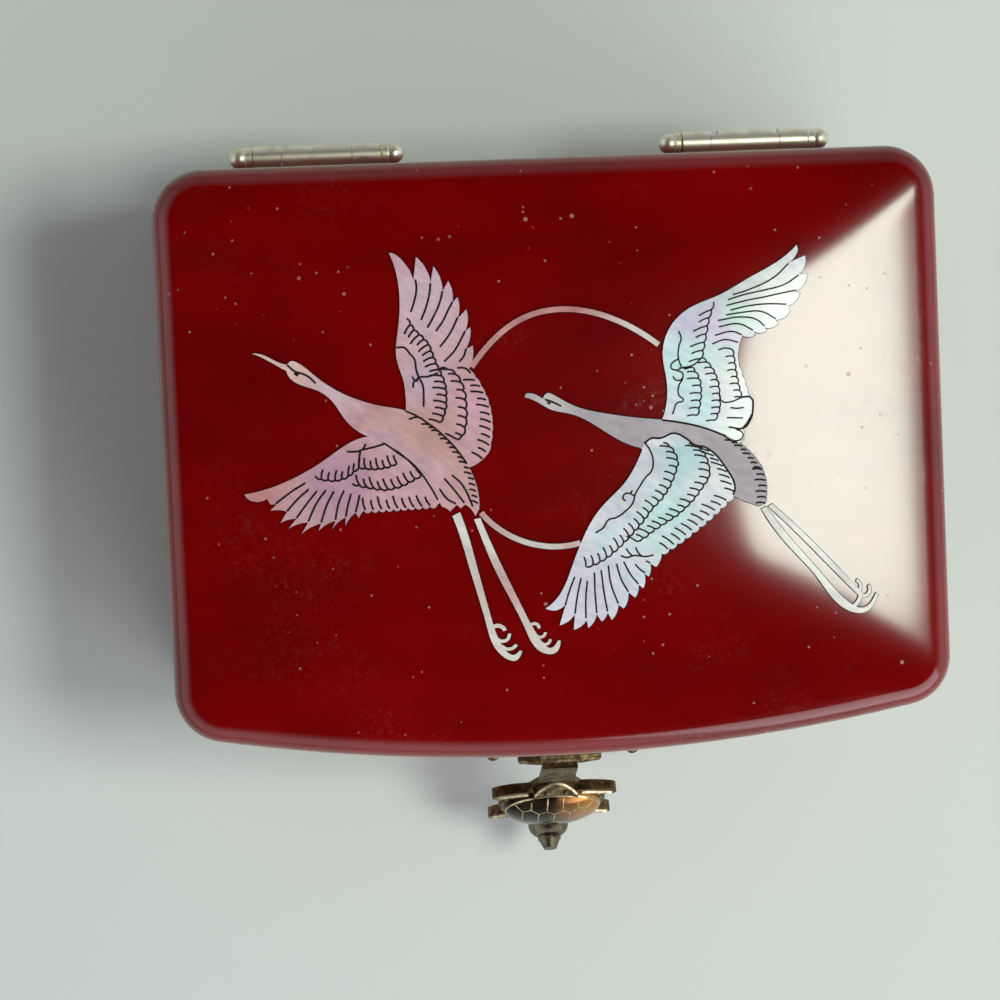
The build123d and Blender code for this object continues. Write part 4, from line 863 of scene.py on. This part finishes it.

# Turtle's carving: scutes cut through the black patina, and low filed ridges on the head's brow and the
# flippers.
# The engraver's lines show pale metal; on the brow and flipper ridges the pale brass is painted highlight.
bared_brass_and_highlight, tree, shader = new_material("brass_bared_and_painted_highlight")
place = add_node(tree, "ShaderNodeTexCoord").outputs["Object"]
wear_and_sheen = add_node(tree, "ShaderNodeTexNoise", {"Vector": place, "Scale": 900.0, "Detail": 3.0})
tree.links.new(ramp(tree, wear_and_sheen.outputs["Fac"], (0.35, "#8f7f60"), (0.65, "#d8c9a4")),
               shader.inputs["Base Color"])
shader.inputs["Metallic"].default_value = 1.0
shader.inputs["Roughness"].default_value = 0.3
lift = math.radians(26.0)
pin_y, pin_z = bow_y(0.0) - 3.4, 44.4
shell_down, shell_half_width, shell_half_length = 22.4, 10.3, 9.4
shell_seat, shell_rise = 3.3, 3.7
casting_front, foot_front = 2.5, 3.4
nose_down, head_length, head_rise = 8.9, 5.1, 2.2


def on_hasp(x, down, out):
    """Place on the lifted hasp: down from its pin along the strap, out from the strap's back."""
    return (x, pin_y - out * math.cos(lift) - down * math.sin(lift),
            pin_z + out * math.sin(lift) - down * math.cos(lift))


def from_shell_middle(x, down):
    """Square of the share of the way from the middle of the shell to its edge."""
    return (x / shell_half_width) ** 2 + ((down - shell_down) / shell_half_length) ** 2


def on_shell(x, down, z):
    """Place on the oval dome of the shell."""
    rise = shell_rise * math.sqrt(max(0.0, 1 - from_shell_middle(x, down)))
    return on_hasp(x, down, shell_seat + rise + 0.5 * z)


def on_head(x, down, z):
    """Place on the slope of the head."""
    return on_hasp(x, down, casting_front + head_rise * (down - nose_down) / head_length + 0.8 * z)


def on_feet(x, down, z):
    """Place on the flat front of the flippers."""
    return on_hasp(x, down, foot_front + 0.8 * z)


scute_width, scute_side, scute_peak = 3.3, 2.2, 1.2
first_row, scute_reach, rim_inset = 15.2, 0.93, 0.35
half = scute_width / 2
scutes = []
for row in range(4):
    for column in range(-3, 5):
        x = scute_width * (column + 0.5 * (row % 2))
        down = first_row + (2 * scute_side + scute_peak) * row
        corners = [(x - half, down + scute_side), (x - half, down - scute_side),
                   (x, down - scute_side - scute_peak), (x + half, down - scute_side)]
        for p, q in zip(corners, corners[1:]):
            edge = [(p[0] + (q[0] - p[0]) * n / 6, p[1] + (q[1] - p[1]) * n / 6) for n in range(7)]
            edge = [place for place in edge if from_shell_middle(*place) < scute_reach]
            if len(edge) > 1:
                scutes.append(edge)
turns = [math.radians(7.5 * n) for n in range(18, 55)]
rim = [((shell_half_width - rim_inset) * math.cos(turn),
        shell_down + (shell_half_length - rim_inset) * math.sin(turn)) for turn in turns]
engrave("turtle_scute_lines", 0.11, *scutes, rim, face=on_shell, body="hasp", filling=bared_brass_and_highlight,
        slot="antique_brass")
# Brow and flipper ridges: their pale brass is painted highlight where their facets catch the light.
engrave("turtle_brow", 0.3, [(-4.3, 12.9), (-2.9, 11.2), (0.0, 9.6), (2.9, 11.2), (4.3, 12.9)], face=on_head,
        body="hasp", filling=bared_brass_and_highlight, slot="antique_brass")
front_ridges = [[(side * 5.6, 14.3), (side * 8.2, 14.7), (side * 11.9, 15.5)] for side in (-1, 1)]
rear_ridges = [[(side * 8.4, 27.9), (side * 10.6, 28.6), (side * 12.2, 29.2)] for side in (-1, 1)]
engrave("turtle_flipper_ridges", 0.45, *front_ridges, *rear_ridges, face=on_feet, body="hasp", filling=bared_brass_and_highlight,
        slot="antique_brass")

# Table, lamps and camera: a matt painted table under one soft window and one wide softbox.
# The window stands where the crown's right slope mirrors it, as in the photograph; the wide softbox and
# the pale horizon fill the shadows and stay out of what the rest of the lid mirrors.
bpy.ops.object.select_all(action="DESELECT")
bpy.ops.mesh.primitive_grid_add(x_subdivisions=4, y_subdivisions=4, size=6)
floor = bpy.context.active_object
floor.name = "floor"
paint, tree, shader = new_material("painted_table")
shader.inputs["Base Color"].default_value = linear("#dbe0dc")
shader.inputs["Roughness"].default_value = 0.9
shader.inputs["Specular IOR Level"].default_value = 0.1
floor.data.materials.append(paint)

# The sky is bright at the horizon, dark overhead and dimmer behind the box; the camera sees plain grey.
world = bpy.data.worlds.new("studio")
bpy.context.scene.world = world
world.use_nodes = True
tree = world.node_tree
tree.nodes.clear()
direction = add_node(tree, "ShaderNodeTexCoord").outputs["Generated"]
height = add_node(tree, "ShaderNodeSeparateXYZ", {0: direction})
fall = add_node(tree, "ShaderNodeMapRange", {0: height.outputs["Z"], 1: 0.42, 2: 0.8, 3: 1.1, 4: 0.02})
rear = add_node(tree, "ShaderNodeMapRange", {0: height.outputs["Y"], 1: 0.1, 2: 0.8, 3: 1.0, 4: 0.4})
level = add_node(tree, "ShaderNodeMath", {0: fall.outputs[0], 1: rear.outputs[0]}, operation="MULTIPLY")
sky = add_node(tree, "ShaderNodeBackground", {"Color": linear("#f2f6fc"), "Strength": level.outputs[0]})
seen = add_node(tree, "ShaderNodeBackground", {"Color": linear("#cdd1cc"), "Strength": 1.0})
path = add_node(tree, "ShaderNodeLightPath")
either = add_node(tree, "ShaderNodeMixShader", {0: path.outputs["Is Camera Ray"], 1: sky.outputs[0],
                                                2: seen.outputs[0]})
add_node(tree, "ShaderNodeOutputWorld", {"Surface": either.outputs[0]})


def softbox(name, place, aim, size, strength, tint):
    """Rectangular lamp of an even glow, turned towards the box."""
    data = bpy.data.lights.new(name, "AREA")
    data.shape = "RECTANGLE"
    data.size, data.size_y = size
    data.energy = strength * math.pi * size[0] * size[1]
    data.color = linear(tint)[:3]
    lamp = bpy.data.objects.new(name, data)
    bpy.context.scene.collection.objects.link(lamp)
    lamp.location = place
    lamp.rotation_mode = "QUATERNION"
    lamp.rotation_quaternion = (Vector(aim) - Vector(place)).to_track_quat("-Z", "Y")


lid_place = (0.0, 0.0, 0.074)
softbox("window_right", (0.515, 0.015, 1.074), lid_place, (0.34, 0.35), 18.5, "#f4fff1")
softbox("softbox_front", (1.1, -1.4, 0.9), lid_place, (1.7, 1.5), 2.2, "#f6f8ff")

# The camera looks down from above the left half of the box, turned a little, as the photograph does.
camera_place, focal_length = (-0.05562, 0.0163, 0.5586), 92.16
turn, sway, nod = math.radians(2.71), math.radians(5.08), math.radians(2.78)
camera_data = bpy.data.cameras.new("camera")
camera_data.lens = focal_length
camera_data.sensor_width = 36.0
camera_data.clip_start = 0.01
camera = bpy.data.objects.new("camera", camera_data)
bpy.context.scene.collection.objects.link(camera)
tilt = Matrix.Rotation(turn, 3, "Z") @ Matrix.Rotation(sway, 3, "Y") @ Matrix.Rotation(nod, 3, "X")
camera.matrix_world = Matrix.Translation(Vector(camera_place)) @ tilt.transposed().to_4x4()
bpy.context.scene.camera = camera
bpy.context.scene.view_settings.view_transform = "Standard"
